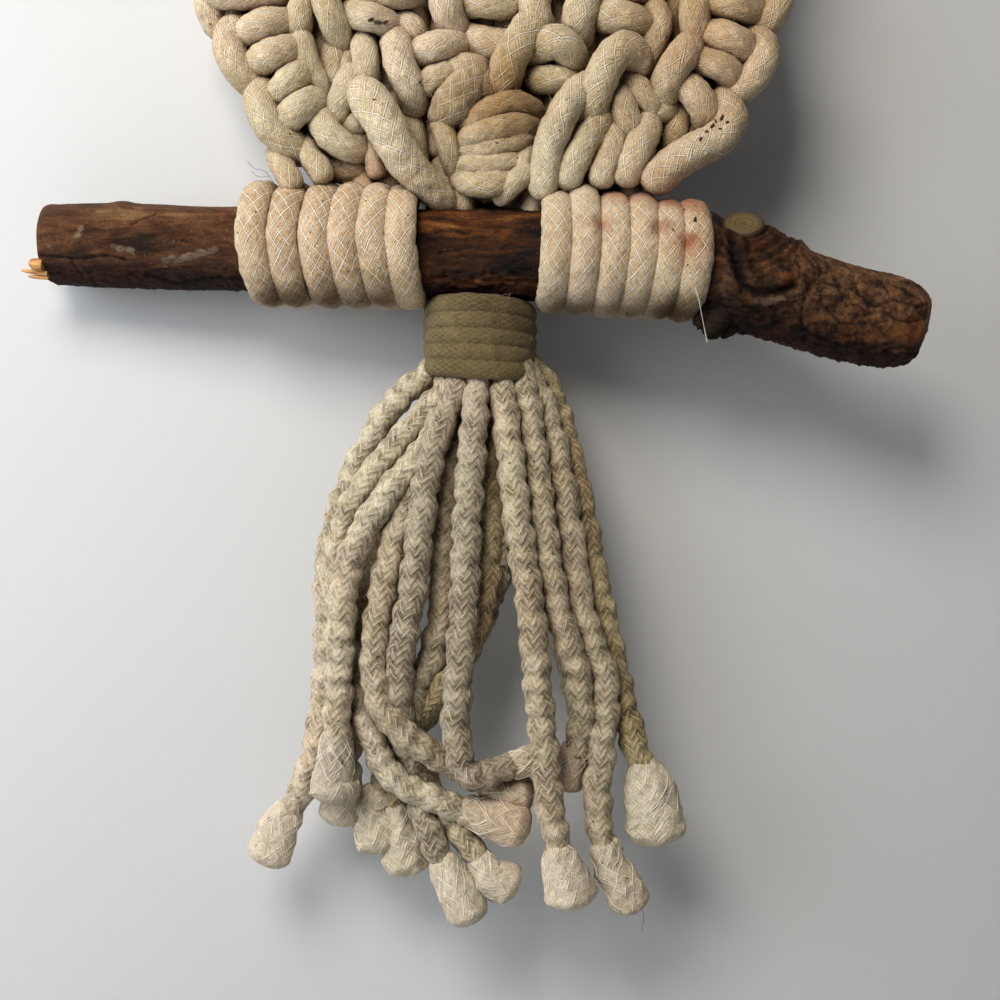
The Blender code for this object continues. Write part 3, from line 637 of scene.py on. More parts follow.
for number, (name, route) in enumerate(STRANDS.items()):
    seed = number + 1
    path, at = eased(route, 2.0)
    share = 5.0 / float(at[-1])
    skin = wound(route, step=0.5, around=32, crimp=0.24, wave=4.0 + 0.2 * (number % 4), rough=0.3,
                 seed=seed, fuzz=0.45, picks=TASSEL_PICKS, pick=TASSEL_PICK, puff=TASSEL_PUFF,
                 swell=((0, 2.7), (0.3, 2.85), (1 - 1.6 * share, 2.8), (1 - share, 2.5), (1, 2.3)), taper=0.8)
    cord = cords_piece(f"tassel_cord_{name}", [skin], WORN.get(name, tassel_cotton))
    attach(cord, "root")
    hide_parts("tail_tassel")
    run, wide, cotton, tattered = BULBS[name]
    bag = bulb_skin(route, run, wide, tattered, seed + 20, 12.0 if name == "left_bold" else HOLD)
    bulb = cords_piece(f"cut_end_{name}", [bag], cotton)
    yarns = cords_piece(f"splayed_yarns_{name}", splayed_yarns(bag, 36, 20, seed), light_yarn)
    for piece in (bulb, yarns):
        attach(piece, "root")


# The tail cords: the body's middle cords go down behind the branch, side by side, into the gathering
# wrap. They are the same braided cotton, still tight.

TAIL_BUNDLE = ((5.2, -108.0, 2.4), (8.3, -99.8, 2.8), (12.2, -96.0, 4.0), (13.2, -90.0, 4.8),
               (12.4, -85.0, 4.8), (9.0, -79.5, 4.6), (4.0, -74.0, 4.2))
TAIL_MIDDLE = -4.1
skins = []
for i in range(4):
    share = 2 * i / 3 - 1
    route = [(TAIL_MIDDLE + share * 1.6 * spread, y, z) for y, z, spread in TAIL_BUNDLE]
    skins.append(wound(route, width=5.2, step=0.7, around=26, seed=40 + i, picks=TASSEL_PICKS,
                       pick=TASSEL_PICK))
tail_cords = cords_piece("tail_cords_behind", skins, tassel_cotton)
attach(tail_cords, "root")
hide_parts("tail_tassel")


# The gathering wrap: one cut cord wound five times round the tail cords and pulled flat, each turn
# dropping a little at the front. Its end is tucked in under the turns.

# The gathering wrap's colours are darkened as a painted shadow of the branch above it
gathering_cotton = braided_cotton("braided_cotton_shaded", "#8D7D54", "#625334", "#B6A77D",
                                  yarn_show=0.6, groove_shade=0.5, picks=12, pick=1.8)
WRAP_RADIUS = 10.3
skins = []
turns = 5
route = []
for i in range(turns * 16 + 1):
    turn = i / 16
    angle = 2 * math.pi * turn + math.pi  # it starts and ends at the back
    front = math.cos(angle)
    level = (turn - turns / 2) / (turns / 2)
    fan = 1.12 + 0.16 * front
    route.append((TAIL_MIDDLE + WRAP_RADIUS * math.sin(angle), 4.0 - WRAP_RADIUS * front,
                  -107.3 - level * 6.3 * fan - 0.3 * front))


def from_neck(line):
    return line * [1, 1, 0] - [TAIL_MIDDLE, 4.0, 0]


skins.append(wound(route, width=4.2, deep=1.25, step=0.65, around=26, outward=from_neck, seed=50, fuzz=0.9,
                   picks=12, pick=1.8, rough=0.22, puff=0.2))
core = [(TAIL_MIDDLE, 4.0, z) for z in (-101.5, -104, -108, -112, -114, -117)]
skins.append(wound(core, width=17.4, step=1.5, around=24, seed=51, fuzz=0, puff=0))
gathering = cords_piece("gathering_wrap_turns", skins, gathering_cotton)
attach(gathering, "root")
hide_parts("gathering_wrap")


# The foot wraps: the cords of each lower corner are lashed to the branch by six tight turns of cord.
# Each turn is squeezed oval against its neighbours and bows a little to the side. Where a turn passes
# over the top, the front and the bottom of the branch was chosen turn by turn, in millimetres.

WRAP_CENTRE = 10.5  # from the branch's middle to the middle of the wound cord
WRAP_DEEP = 4.3

# On the left wrap the three dark tints darken the undersides of the turns as painted shade
left_cotton = braided_cotton(
    "braided_cotton_worn_and_shaded_below", "#EEDBBE", "#CAB18A", "#FFF7E4", yarn_show=0.8, crevice_shade_tint="#664428",
    stains_and_shade=tuple(((x, -4.0, -102.0), 9.0, "#6B573C", 0.97) for x in (-44.0, -34.0, -24.0)))
# On the right wrap the rust tints are stains; the last three dark tints darken the undersides of the turns as
# painted shade
right_cotton = braided_cotton(
    "braided_cotton_rust_stained", "#F0DEC4", "#D2B994", "#FFF7E4", yarn_show=0.8, crevice_shade_tint="#7C4024",
    stains_and_shade=(((24.5, -8.0, -77.0), 8.0, "#C87B45", 0.9), ((33.0, -6.0, -78.5), 8.0, "#BC6C3C", 0.95),
            ((39.5, -7.0, -80.0), 8.0, "#C98254", 0.8), ((36.0, -12.0, -92.0), 6.0, "#D9AE84", 0.5),
            ((19.8, -12.5, -86.0), 3.6, "#B86A44", 0.8), ((31.0, -12.5, -86.5), 3.6, "#B46038", 0.85),
            ((36.2, -12.5, -90.0), 3.2, "#BC6E48", 0.8),
            *(((x, -4.0, -104.5), 10.0, "#5C482C", 1.0) for x in (14.0, 24.0, 34.0))))


def foot_wrap(name, node, tops, fronts, bottoms, lifts, middle, lean, material, seed):
    route = []
    count = len(tops)
    for i in range(count * 16 - 1):  # it ends at the back, tucked under
        turn = (i - 2) / 16
        k, phase = int(min(max(turn, 0), count - 1e-6)), turn - int(min(max(turn, 0), count - 1e-6))
        after = tops[k + 1] if k + 1 < count else tops[k] + (bottoms[k] - tops[k]) + 3.0
        back = (bottoms[k] + after) / 2
        x = np.interp(phase, (0, 0.25, 0.5, 0.75, 1), (tops[k], fronts[k], bottoms[k], back, after))
        angle = 2 * math.pi * phase  # from the top, forward and down
        level = middle[1] - math.tan(math.radians(lean)) * (x - middle[0])
        over_top = max(math.cos(angle), 0) ** 2
        level += over_top * np.interp(turn, range(count + 1), (*lifts, lifts[-1]))
        route.append((x, -WRAP_CENTRE * math.sin(angle), level + WRAP_CENTRE * math.cos(angle)))

    def from_branch(line):
        level = middle[1] - np.tan(np.radians(lean)) * (line[:, 0] - middle[0])
        return np.column_stack([0 * level, line[:, 1], line[:, 2] - level])

    skin = wound(route, width=6.5, deep=WRAP_DEEP / 2, step=0.55, around=30, outward=from_branch,
                 rough=0.24, seed=seed, fuzz=0.4)
    wrap = cords_piece(name, [skin], material)
    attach(wrap, "root")
    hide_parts(node)


foot_wrap(
    "foot_wrap_left_turns", "foot_wrap_left",
    tops=(-47.4, -41.0, -34.6, -29.0, -24.0, -19.4), fronts=(-48.4, -42.6, -36.3, -30.9, -25.3, -19.6),
    bottoms=(-46.6, -40.9, -34.5, -28.6, -23.0, -17.9), lifts=(0.2, 0.1, 0, 0.1, 0, -0.4),
    middle=(-33.9, -88.6), lean=0.7,
    material=left_cotton, seed=60)
foot_wrap(
    "foot_wrap_right_turns", "foot_wrap_right",
    tops=(11.6, 16.4, 22.7, 28.1, 33.4, 38.1), fronts=(11.2, 16.8, 22.6, 28.1, 33.4, 38.5),
    bottoms=(10.3, 15.6, 21.5, 26.0, 31.3, 36.8), lifts=(-0.3, 1.6, 0.2, 0.4, -0.9, -0.5),
    middle=(24.9, -90.6), lean=3.9,
    material=right_cotton, seed=61)


# The branch: a found stick with its bark half worn off. The left is smooth and red-brown with a torn
# end, the middle is flaky, and the right swells at a burl with a sawn side stub and a snapped twig.

BRANCH = (
    (-91.3, -88.2, 7.2), (-90.6, -88.3, 7.9), (-84.0, -88.4, 8.1), (-76.0, -88.6, 8.2),
    (-60.0, -89.0, 8.3), (-44.0, -89.3, 8.3), (-24.0, -89.8, 8.6), (-4.0, -90.2, 9.0),
    (9.0, -90.5, 9.0), (26.0, -91.6, 8.8), (40.0, -93.0, 9.4), (47.0, -95.2, 10.6),
    (54.0, -96.9, 10.5), (61.0, -99.3, 9.6), (68.0, -101.6, 9.4), (76.0, -103.6, 9.1),
    (81.0, -104.6, 8.6), (83.6, -105.0, 7.6), (84.8, -105.2, 6.2),
)
KNUCKLE = (48.1, -6.9, -84.9)  # the middle of the sawn stub
END_TILT = 0.24  # the right end is broken square to the branch, which slopes down there

# The main cracks and edges of bark plates on the front, each as X, Z points in millimetres
CRACKS = (
    ((60.8, -97.9), (59.5, -100.9), (58.9, -103.6), (59.9, -106.4), (63.8, -108.3), (68.3, -109.5),
     (72.0, -109.3)),
    ((61.2, -97.8), (63.8, -97.6), (67.7, -98.7)),
    ((70.0, -99.7), (73.5, -102.1), (77.5, -100.7), (80.0, -101.5), (82.1, -102.1), (84.3, -101.3)),
    ((63.8, -102.6), (66.7, -105.4), (73.5, -105.4), (75.9, -105.0)),
    ((75.3, -103.2), (77.6, -104.8), (80.2, -105.2), (83.7, -104.4)),
    ((64.2, -92.5), (65.3, -94.6)), ((75.1, -97.8), (76.1, -99.1)), ((77.8, -98.1), (80.4, -99.1)),
    ((63.2, -94.0), (62.6, -96.0), (61.6, -97.6)), ((58.3, -93.3), (58.7, -95.4), (57.9, -97.8)),
    ((-90.6, -91.9), (-87.6, -92.1), (-84.9, -92.3), (-82.1, -92.5), (-79.6, -92.1), (-76.7, -91.9),
     (-73.7, -92.7)),
    ((-72.6, -85.8), (-70.8, -84.6), (-68.1, -83.3)), ((-84.5, -92.7), (-82.9, -96.2)),
    ((-70.2, -95.4), (-63.8, -96.6), (-57.3, -95.8), (-51.6, -96.0)),
    ((-11.7, -91.5), (-5.9, -90.7), (-2.0, -91.1), (2.0, -90.7), (7.8, -90.3)),
    ((-13.7, -87.6), (-9.4, -86.8), (-5.9, -87.8)),
)
# The deep fold where the burl's growth closed under the sawn stub
FOLD = ((45.2, -89.7), (45.6, -92.7), (46.5, -95.6), (47.9, -98.5), (49.9, -99.5), (52.0, -99.9),
        (54.6, -99.3), (57.3, -98.1))
PALE_STREAKS = (((-66.3, -92.9), (-63.8, -92.9), (-60.4, -92.1), (-57.9, -91.3), (-55.4, -90.9)),
                ((-76.1, -90.1), (-74.1, -90.7), (-72.2, -91.3)), ((-82.9, -88.0), (-82.4, -86.8)),
                ((50.2, -101.0), (52.4, -101.4), (55.0, -100.6)))
# Where the bark is rubbed down to orange: X, Z, reach in millimetres and strength
ORANGE = ((62.6, -105.2, 2.6, 0.45), (68.5, -106.8, 3.6, 0.5), (74.3, -107.1, 3.6, 0.5),
          (80.6, -107.3, 2.8, 1.0), (81.5, -105.5, 1.8, 0.9), (49.3, -90.6, 2.0, 0.55),
          (52.4, -95.0, 3.0, 0.4),
          (56.4, -97.0, 2.0, 0.8), (47.5, -101.3, 1.8, 0.8), (-62.6, -88.4, 2.0, 0.5),
          (-53.8, -83.3, 2.4, 0.6), (-82.7, -87.0, 1.4, 0.6), (78.0, -101.0, 3.0, 0.3))
# Painted shade in the hollows round the burl, under it and at the left end: X, Z, reach in millimetres and
# strength
HOLLOW_SHADE_PATCHES = ((46.4, -92.0, 2.2, 1.0), (47.0, -95.0, 2.4, 1.0), (-82.1, -90.9, 1.8, 0.8),
                (42.5, -100.0, 6.0, 0.8), (52.0, -98.3, 2.4, 0.9), (48.5, -104.0, 5.0, 0.6),
                (45.0, -88.5, 2.4, 0.7))

bark, tree, shader, output = new_material("weathered_bark")
place = add_node(tree, "ShaderNodeTexCoord")
spot = add_node(tree, "ShaderNodeSeparateXYZ", links={0: place.outputs["Object"]})
round_it = add_node(tree, "ShaderNodeSeparateXYZ", links={0: place.outputs["UV"]})
wear_and_shade_attribute = add_node(tree, "ShaderNodeAttribute", {"attribute_name": "wear_and_shade"})
marks = add_node(tree, "ShaderNodeSeparateColor", links={0: wear_and_shade_attribute.outputs["Color"]})
long_grain = add_node(tree, "ShaderNodeMapping", links={"Vector": place.outputs["Object"]},
                      values={"Scale": (0.28, 1.0, 1.0)})
grain = add_node(tree, "ShaderNodeTexNoise", links={"Vector": long_grain.outputs["Vector"]},
                 values={"Scale": 700.0, "Detail": 7.0, "Roughness": 0.72, "Distortion": 0.4})
grit = add_node(tree, "ShaderNodeTexNoise", links={"Vector": place.outputs["Object"]},
                values={"Scale": 1100.0, "Detail": 4.0, "Roughness": 0.7})
blotch = add_node(tree, "ShaderNodeTexNoise", links={"Vector": long_grain.outputs["Vector"]},
                  values={"Scale": 150.0, "Detail": 6.0, "Roughness": 0.62})
crust = add_node(tree, "ShaderNodeTexNoise", links={"Vector": place.outputs["Object"]},
                 values={"Scale": 330.0, "Detail": 8.0, "Roughness": 0.75, "Distortion": 0.3})
to_right = add_node(tree, "ShaderNodeMapRange", {}, {"Value": spot.outputs["X"]},
                    {"From Min": 0.030, "From Max": 0.044, "To Max": 0.8})
grain_here = add_node(tree, "ShaderNodeMix", {"data_type": "FLOAT"},
                      {0: to_right.outputs["Result"], 2: grain.outputs["Fac"], 3: crust.outputs["Fac"]})
blotch_here = add_node(tree, "ShaderNodeMix", {"data_type": "FLOAT"},
                       {0: to_right.outputs["Result"], 2: blotch.outputs["Fac"], 3: crust.outputs["Fac"]})


def wood_tones(steps):
    """The bark's colours from its dark to its light blotches."""
    tones = add_node(tree, "ShaderNodeValToRGB", links={0: blotch_here.outputs[0]})
    ramp = tones.color_ramp
    for at, tone in steps:
        stop = ramp.elements.new(at)
        stop.color = linear(tone)
    ramp.elements.remove(ramp.elements[0])
    ramp.elements.remove(ramp.elements[-1])
    return tones


red_brown = wood_tones(((0.34, "#33200F"), (0.45, "#664328"), (0.56, "#7A5233"), (0.68, "#A07C54")))
flaky_brown = wood_tones(((0.36, "#170C05"), (0.46, "#4C2C12"), (0.55, "#7C4A1E"), (0.66, "#B98550")))
dull_brown = wood_tones(((0.36, "#1C1009"), (0.44, "#573B25"), (0.50, "#7A5C40"), (0.57, "#84603F"),
                         (0.66, "#A48D70")))
to_middle = add_node(tree, "ShaderNodeMapRange", {}, {"Value": spot.outputs["X"]},
                     {"From Min": -0.040, "From Max": -0.020})
half_way = add_node(tree, "ShaderNodeMix", {"data_type": "RGBA"},
                    {0: to_middle.outputs["Result"], 6: red_brown.outputs["Color"],
                     7: flaky_brown.outputs["Color"]})
wood = add_node(tree, "ShaderNodeMix", {"data_type": "RGBA"},
                {0: to_right.outputs["Result"], 6: half_way.outputs[2], 7: dull_brown.outputs["Color"]})
for channel, tone, reach in (("Green", "#8A5526", 0.55), ("Blue", "#9C8D7C", 0.60)):
    broken = add_node(tree, "ShaderNodeMath", {"operation": "MULTIPLY_ADD"},
                      {0: grain_here.outputs[0], 2: marks.outputs[channel]}, {1: 1.3})
    shows = add_node(tree, "ShaderNodeMapRange", {"interpolation_type": "SMOOTHSTEP"},
                     {"Value": broken.outputs[0]}, {"From Min": 0.72 + reach * 0.35, "From Max": 1.35,
                                                    "To Min": 0.0, "To Max": 0.75})
    wood = add_node(tree, "ShaderNodeMix", {"data_type": "RGBA"},
                    {0: shows.outputs["Result"], 6: wood.outputs[2]}, {7: linear(tone)})
fine = add_node(tree, "ShaderNodeMapRange", {}, {"Value": grain_here.outputs[0]},
                {"From Min": 0.36, "From Max": 0.60, "To Min": 0.9, "To Max": 0.0})
grained = add_node(tree, "ShaderNodeMix", {"data_type": "RGBA", "blend_type": "MULTIPLY"},
                   {0: fine.outputs["Result"], 6: wood.outputs[2]}, {7: linear("#8C6A50")})
specks = add_node(tree, "ShaderNodeMapRange", {}, {"Value": grit.outputs["Fac"]},
                  {"From Min": 0.63, "From Max": 0.72, "To Min": 0.0, "To Max": 0.5})
flecked = add_node(tree, "ShaderNodeMix", {"data_type": "RGBA"},
                   {0: specks.outputs["Result"], 6: grained.outputs[2]}, {7: linear("#B79A78")})
pits = add_node(tree, "ShaderNodeMapRange", {}, {"Value": grit.outputs["Fac"]},
                {"From Min": 0.30, "From Max": 0.40, "To Min": 0.7, "To Max": 0.0})
pitted = add_node(tree, "ShaderNodeMix", {"data_type": "RGBA"},
                  {0: pits.outputs["Result"], 6: flecked.outputs[2]}, {7: linear("#2A1B10")})
# The red channel darkens the cracks, and as painted shade the hollows, the fold and the wrinkles' troughs
cracks_and_hollow_shade = add_node(tree, "ShaderNodeMix", {"data_type": "RGBA"},
                   {0: marks.outputs["Red"], 6: pitted.outputs[2]}, {7: linear("#170E08")})
# The V runs round the branch from its lowest line, so the underside's painted shade follows it: the bark is
# darkened towards the bottom
under = add_node(tree, "ShaderNodeMath", {"operation": "MULTIPLY_ADD"},
                 {0: blotch.outputs["Fac"], 2: round_it.outputs["Y"]}, {1: 0.30})
underside_shade = add_node(tree, "ShaderNodeMapRange", {"interpolation_type": "SMOOTHSTEP"},
                      {"Value": under.outputs[0]},
                      {"From Min": 0.34, "From Max": 0.60, "To Min": 0.97, "To Max": 0.15})
shaded = add_node(tree, "ShaderNodeMix", {"data_type": "RGBA", "blend_type": "MULTIPLY"},
                  {0: underside_shade.outputs["Result"], 6: cracks_and_hollow_shade.outputs[2]}, {7: linear("#6E5442")})
# The bark is darkest on the burl, round the sawn stub
from_knuckle = add_node(tree, "ShaderNodeVectorMath", {"operation": "DISTANCE"},
                        {0: place.outputs["Object"]}, {1: [c * MM for c in KNUCKLE]})
burl_dark = add_node(tree, "ShaderNodeMapRange", {"interpolation_type": "SMOOTHSTEP"},
                    {"Value": from_knuckle.outputs["Value"]},
                    {"From Min": 0.006, "From Max": 0.017, "To Min": 0.85, "To Max": 0.0})
with_burl = add_node(tree, "ShaderNodeMix", {"data_type": "RGBA", "blend_type": "MULTIPLY"},
                  {0: burl_dark.outputs["Result"], 6: shaded.outputs[2]}, {7: linear("#9C806C")})
tree.links.new(with_burl.outputs[2], shader.inputs["Base Color"])
relief = add_node(tree, "ShaderNodeMath", {"operation": "MULTIPLY_ADD"},
                  {0: grit.outputs["Fac"], 2: grain_here.outputs[0]}, {1: 0.6})
bump = add_node(tree, "ShaderNodeBump", {}, {"Height": relief.outputs[0]},
                {"Strength": 1.0, "Distance": 0.0009})
tree.links.new(bump.outputs["Normal"], shader.inputs["Normal"])
shader.inputs["Roughness"].default_value = 0.6
shader.inputs["Specular IOR Level"].default_value = 0.18


def tube_faces(rows, sides):
    k = np.arange(rows - 1)[:, None] * sides
    j = np.arange(sides)[None]
    ahead = (j + 1) % sides
    return np.stack([k + j, k + ahead, k + sides + ahead, k + sides + j], -1).reshape(-1, 4)


def off_line(spots, route):
    """How far each X, Z spot lies from this line."""
    nearest = np.full(len(spots), 99.0)
    for a, b in zip(np.array(route)[:-1], np.array(route)[1:]):
        share = np.clip((spots - a) @ (b - a) / (b - a).dot(b - a), 0, 1)
        nearest = np.minimum(nearest, np.linalg.norm(spots - a - share[:, None] * (b - a), axis=1))
    return nearest


# Rows lie closer where the bark shows than under the wraps, and the front has more sides than the back
caps = 7
xs = np.concatenate([np.arange(-91.3, -46, 0.4), np.arange(-46, -18, 1.2), np.arange(-18, 12, 0.4),
                     np.arange(12, 39, 1.2), np.arange(39, 84.9, 0.32)])
axis_x, axis_z, axis_r = (np.array(column) for column in zip(*BRANCH))
level, radius = np.interp(xs, axis_x, axis_z), np.interp(xs, axis_x, axis_r)
for _ in range(12):
    level[1:-1] = (level[:-2] + 2 * level[1:-1] + level[2:]) / 4
    radius[1:-1] = (radius[:-2] + 2 * radius[1:-1] + radius[2:]) / 4
xs = np.concatenate([np.full(caps, xs[0]), xs, np.full(caps, xs[-1])])
level = np.concatenate([np.full(caps, level[0]), level, np.full(caps, level[-1])])
inner = np.linspace(0.02, 0.94, caps)
radius = np.concatenate([inner * radius[0], radius, inner[::-1] * radius[-1]])
turn = np.concatenate([np.linspace(0, math.pi, 40, endpoint=False),
                       np.linspace(math.pi, 2 * math.pi, 104, endpoint=False)])
sides = len(turn)
grid = np.stack([np.broadcast_to(xs[:, None], (len(xs), sides)),
                 radius[:, None] * np.sin(turn), level[:, None] - radius[:, None] * np.cos(turn)], -1)
flat = grid.reshape(-1, 3)
low_z = np.repeat(level, sides)
out = unit(flat - np.column_stack([flat[:, 0], 0 * low_z, low_z]))
full = np.repeat(radius, sides) > 6.0
x = flat[:, 0]
flat[:, 0] += (flat[:, 2] - low_z) * END_TILT * np.clip((x - 40) / 40, 0, 1)
right_part = np.clip((x - 38) / 8, 0, 1)
middle_part = np.clip((x + 40) / 15, 0, 1) * (1 - right_part)
rise = np.zeros(len(flat))
for i, point in enumerate(flat):
    swell = noise.noise(Vector((point[0] * 0.05, point[1] * 0.16, point[2] * 0.16)))
    ridge = noise.noise(Vector((point[0] * 0.16 + 3, point[1] * 0.50 + 8, point[2] * 0.50 + 1)))
    flake = noise.noise(Vector((point[0] * 0.55 + 9, point[1] * 1.1 + 2, point[2] * 1.1 + 4)))
    scuff = noise.noise(Vector((point[0] * 1.6, point[1] * 2.4, point[2] * 2.4)))
    rough_here = 0.10 + 0.42 * middle_part[i] + 0.40 * right_part[i]
    rise[i] = (0.40 * swell + rough_here * (0.7 * ridge + 0.55 * flake) + (0.05 + 0.13 * rough_here) * scuff)
    if point[2] < low_z[i] - 5.0:
        rise[i] += 0.35 * flake + 0.25 * scuff  # the underside is ragged
front = flat[:, 1] < 1.0
spots = flat[:, [0, 2]]
wear_and_shade = np.zeros((len(flat), 3))
raggedness = 0.22 * lumps(flat, 0.9, 31)
for route in CRACKS:
    away = off_line(spots, route) + raggedness
    rise -= 0.32 * np.exp(-(away / 0.22) ** 2) * front
    rise += 0.10 * np.exp(-((away - 0.9) / 0.5) ** 2) * front
    wear_and_shade[:, 0] = np.maximum(wear_and_shade[:, 0], 0.95 * np.exp(-(away / 0.21) ** 2) * front)
for route in PALE_STREAKS:
    away = off_line(spots, route) + 2.2 * raggedness
    wear_and_shade[:, 2] = np.maximum(wear_and_shade[:, 2], 0.8 * np.exp(-(away / 0.75) ** 2) * front)
for patches, channel in ((ORANGE, 1), (HOLLOW_SHADE_PATCHES, 0)):
    for patch_x, patch_z, reach, strength in patches:
        away = np.linalg.norm(spots - [patch_x, patch_z], axis=1) / reach + 2 * raggedness
        covered = strength * np.clip(1.5 - away, 0, 1) * front
        wear_and_shade[:, channel] = np.maximum(wear_and_shade[:, channel], covered * (0.75 if channel == 0 else 1.0))
# Growth wrinkles curl round the sawn stub and end in one deep fold with a raised lip under it
to_stub = np.linalg.norm((flat - np.array(KNUCKLE)) * [0.88, 0.6, 1.0], axis=1)
below = np.clip((KNUCKLE[2] - flat[:, 2]) / 3 + (flat[:, 0] - KNUCKLE[0]) / 6 + 0.3, 0, 1)
collar = np.clip((13.0 - to_stub) / 3, 0, 1) * (x > 40)
waves = np.sin(to_stub * 2 * math.pi / 1.6 + 1.9 * lumps(flat, 3.0, 33))
mound = 1.9 * np.exp(-(np.clip(to_stub - 4.3, 0, 9) / 3.2) ** 2) * np.clip((to_stub - 4.1) / 1.6, 0, 1)
rise += (x > 40) * mound + collar * below * 0.28 * waves
# The wrinkles' troughs are darkened as painted shade
wear_and_shade[:, 0] = np.maximum(wear_and_shade[:, 0], collar * below * front * np.clip(-waves - 0.35, 0, 0.8))
away = off_line(spots, FOLD) + raggedness
rise += front * (0.75 * np.exp(-((away - 1.7) / 0.9) ** 2) - 1.3 * np.exp(-(away / 0.85) ** 2))
# The fold is darkened as painted shade
wear_and_shade[:, 0] = np.maximum(wear_and_shade[:, 0], np.exp(-(away / 0.9) ** 2) * front)
# A flake stands up behind the burl, and old leaf scars swell the top on the left
for bump_x, long, high in ((60.0, 1.5, 1.1), (57.0, 2.0, 0.5), (-75.8, 2.2, 0.5), (-91.0, 1.2, 0.4)):
    on_top = np.clip((flat[:, 2] - low_z) / 8, 0, 1) ** 3
    rise += high * on_top * np.exp(-((x - bump_x) / long) ** 2)
flat = flat + out * (rise * np.where(full, 1.0, 0.2))[:, None]
flat[~full, 0] += 0.6 * lumps(flat[~full], 2.0, 3) + 0.25 * lumps(flat[~full], 0.8, 4)
faces = tube_faces(len(xs), sides)
height = 1 - np.abs(1 - turn / math.pi)
v_now = np.broadcast_to(height, (len(xs) - 1, sides))
v_next = np.broadcast_to(np.roll(height, -1), (len(xs) - 1, sides))
u_now = np.broadcast_to(xs[:-1, None] / 10, v_now.shape)
u_next = np.broadcast_to(xs[1:, None] / 10, v_now.shape)
uv = np.stack([u_now, v_now, u_now, v_next, u_next, v_next, u_next, v_now], -1)
uv = uv.reshape(-1, 2)
uv = np.vstack([uv, np.full((2 * sides, 2), 0.5)])
all_faces = [*faces.tolist(), list(range(sides))[::-1], [len(flat) - sides + j for j in range(sides)]]
branch = mesh_object("bark_covered_branch", flat * MM, all_faces, bark, uv)
layer = branch.data.attributes.new("wear_and_shade", "FLOAT_COLOR", "POINT")
layer.data.foreach_set("color", np.column_stack([wear_and_shade, np.ones(len(wear_and_shade))]).astype(np.float32).ravel())
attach(branch, "root")
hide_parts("branch")

# The side stub: a thin limb was sawn off flush long ago, and its end has greyed to olive.
sawn, tree, shader, output = new_material("sawn_end_grain")
place = add_node(tree, "ShaderNodeTexCoord")
centre = add_node(tree, "ShaderNodeVectorMath", {"operation": "DISTANCE"},
                  {0: place.outputs["Object"]}, {1: [c * MM for c in KNUCKLE]})
haze = add_node(tree, "ShaderNodeTexNoise", links={"Vector": place.outputs["Object"]},
                values={"Scale": 700.0, "Detail": 4.0})
ring_at = add_node(tree, "ShaderNodeMath", {"operation": "MULTIPLY_ADD"},
                   {0: haze.outputs["Fac"], 2: centre.outputs["Value"]}, {1: 0.0012})
ring_turn = add_node(tree, "ShaderNodeMath", {"operation": "MULTIPLY"}, {0: ring_at.outputs[0]},
                     {1: 2 * math.pi / 0.0011})
rings = add_node(tree, "ShaderNodeMath", {"operation": "SINE"}, {0: ring_turn.outputs[0]})
faint = add_node(tree, "ShaderNodeMapRange", {}, {"Value": rings.outputs[0]},
                 {"From Min": -1.0, "From Max": 1.0, "To Min": 0.0, "To Max": 0.55})
end_tone = add_node(tree, "ShaderNodeMix", {"data_type": "RGBA"}, {0: faint.outputs["Result"]},
                    {6: linear("#65532F"), 7: linear("#3D2D19")})
rim = add_node(tree, "ShaderNodeMapRange", {}, {"Value": centre.outputs["Value"]},
               {"From Min": 0.0033, "From Max": 0.0039})
rimmed = add_node(tree, "ShaderNodeMix", {"data_type": "RGBA"},
                  {0: rim.outputs["Result"], 6: end_tone.outputs[2]}, {7: linear("#3A2A1D")})
tree.links.new(rimmed.outputs[2], shader.inputs["Base Color"])
bump = add_node(tree, "ShaderNodeBump", {}, {"Height": haze.outputs["Fac"]},
                {"Strength": 0.6, "Distance": 0.0003})
tree.links.new(bump.outputs["Normal"], shader.inputs["Normal"])
shader.inputs["Roughness"].default_value = 0.75

STUB_FACING = np.array([-0.08, -0.70, 0.71])


def disc_stack(centre, facing, profile, sides, seed):
    """A short post with rounded edges: rings at (distance along facing, radius), closed at both ends."""
    facing = facing / np.linalg.norm(facing)
    side = np.cross(facing, [1.0, 0, 0])
    side /= np.linalg.norm(side)
    other = np.cross(facing, side)
    angle = np.linspace(0, 2 * math.pi, sides, endpoint=False)
    ring = np.cos(angle)[:, None] * side + np.sin(angle)[:, None] * other
    points = np.vstack([np.array(centre) + facing * h + ring * r for h, r in profile])
    points += (points - np.array(centre)) * (0.05 * lumps(points, 2.4, seed))[:, None]
    faces = [*tube_faces(len(profile), sides).tolist(), list(range(sides))[::-1],
             [(len(profile) - 1) * sides + j for j in range(sides)]]
    return points, faces


points, faces = disc_stack(
    KNUCKLE, STUB_FACING, ((-8, 4.7), (-4, 4.4), (-2.0, 4.2), (-0.9, 4.1), (-0.5, 3.8), (-0.5, 2.4),
                           (-0.7, 1.2), (-0.8, 0.3)), 40, 71)
stub = mesh_object("sawn_side_stub", points * MM, faces, sawn)
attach(stub, "root")


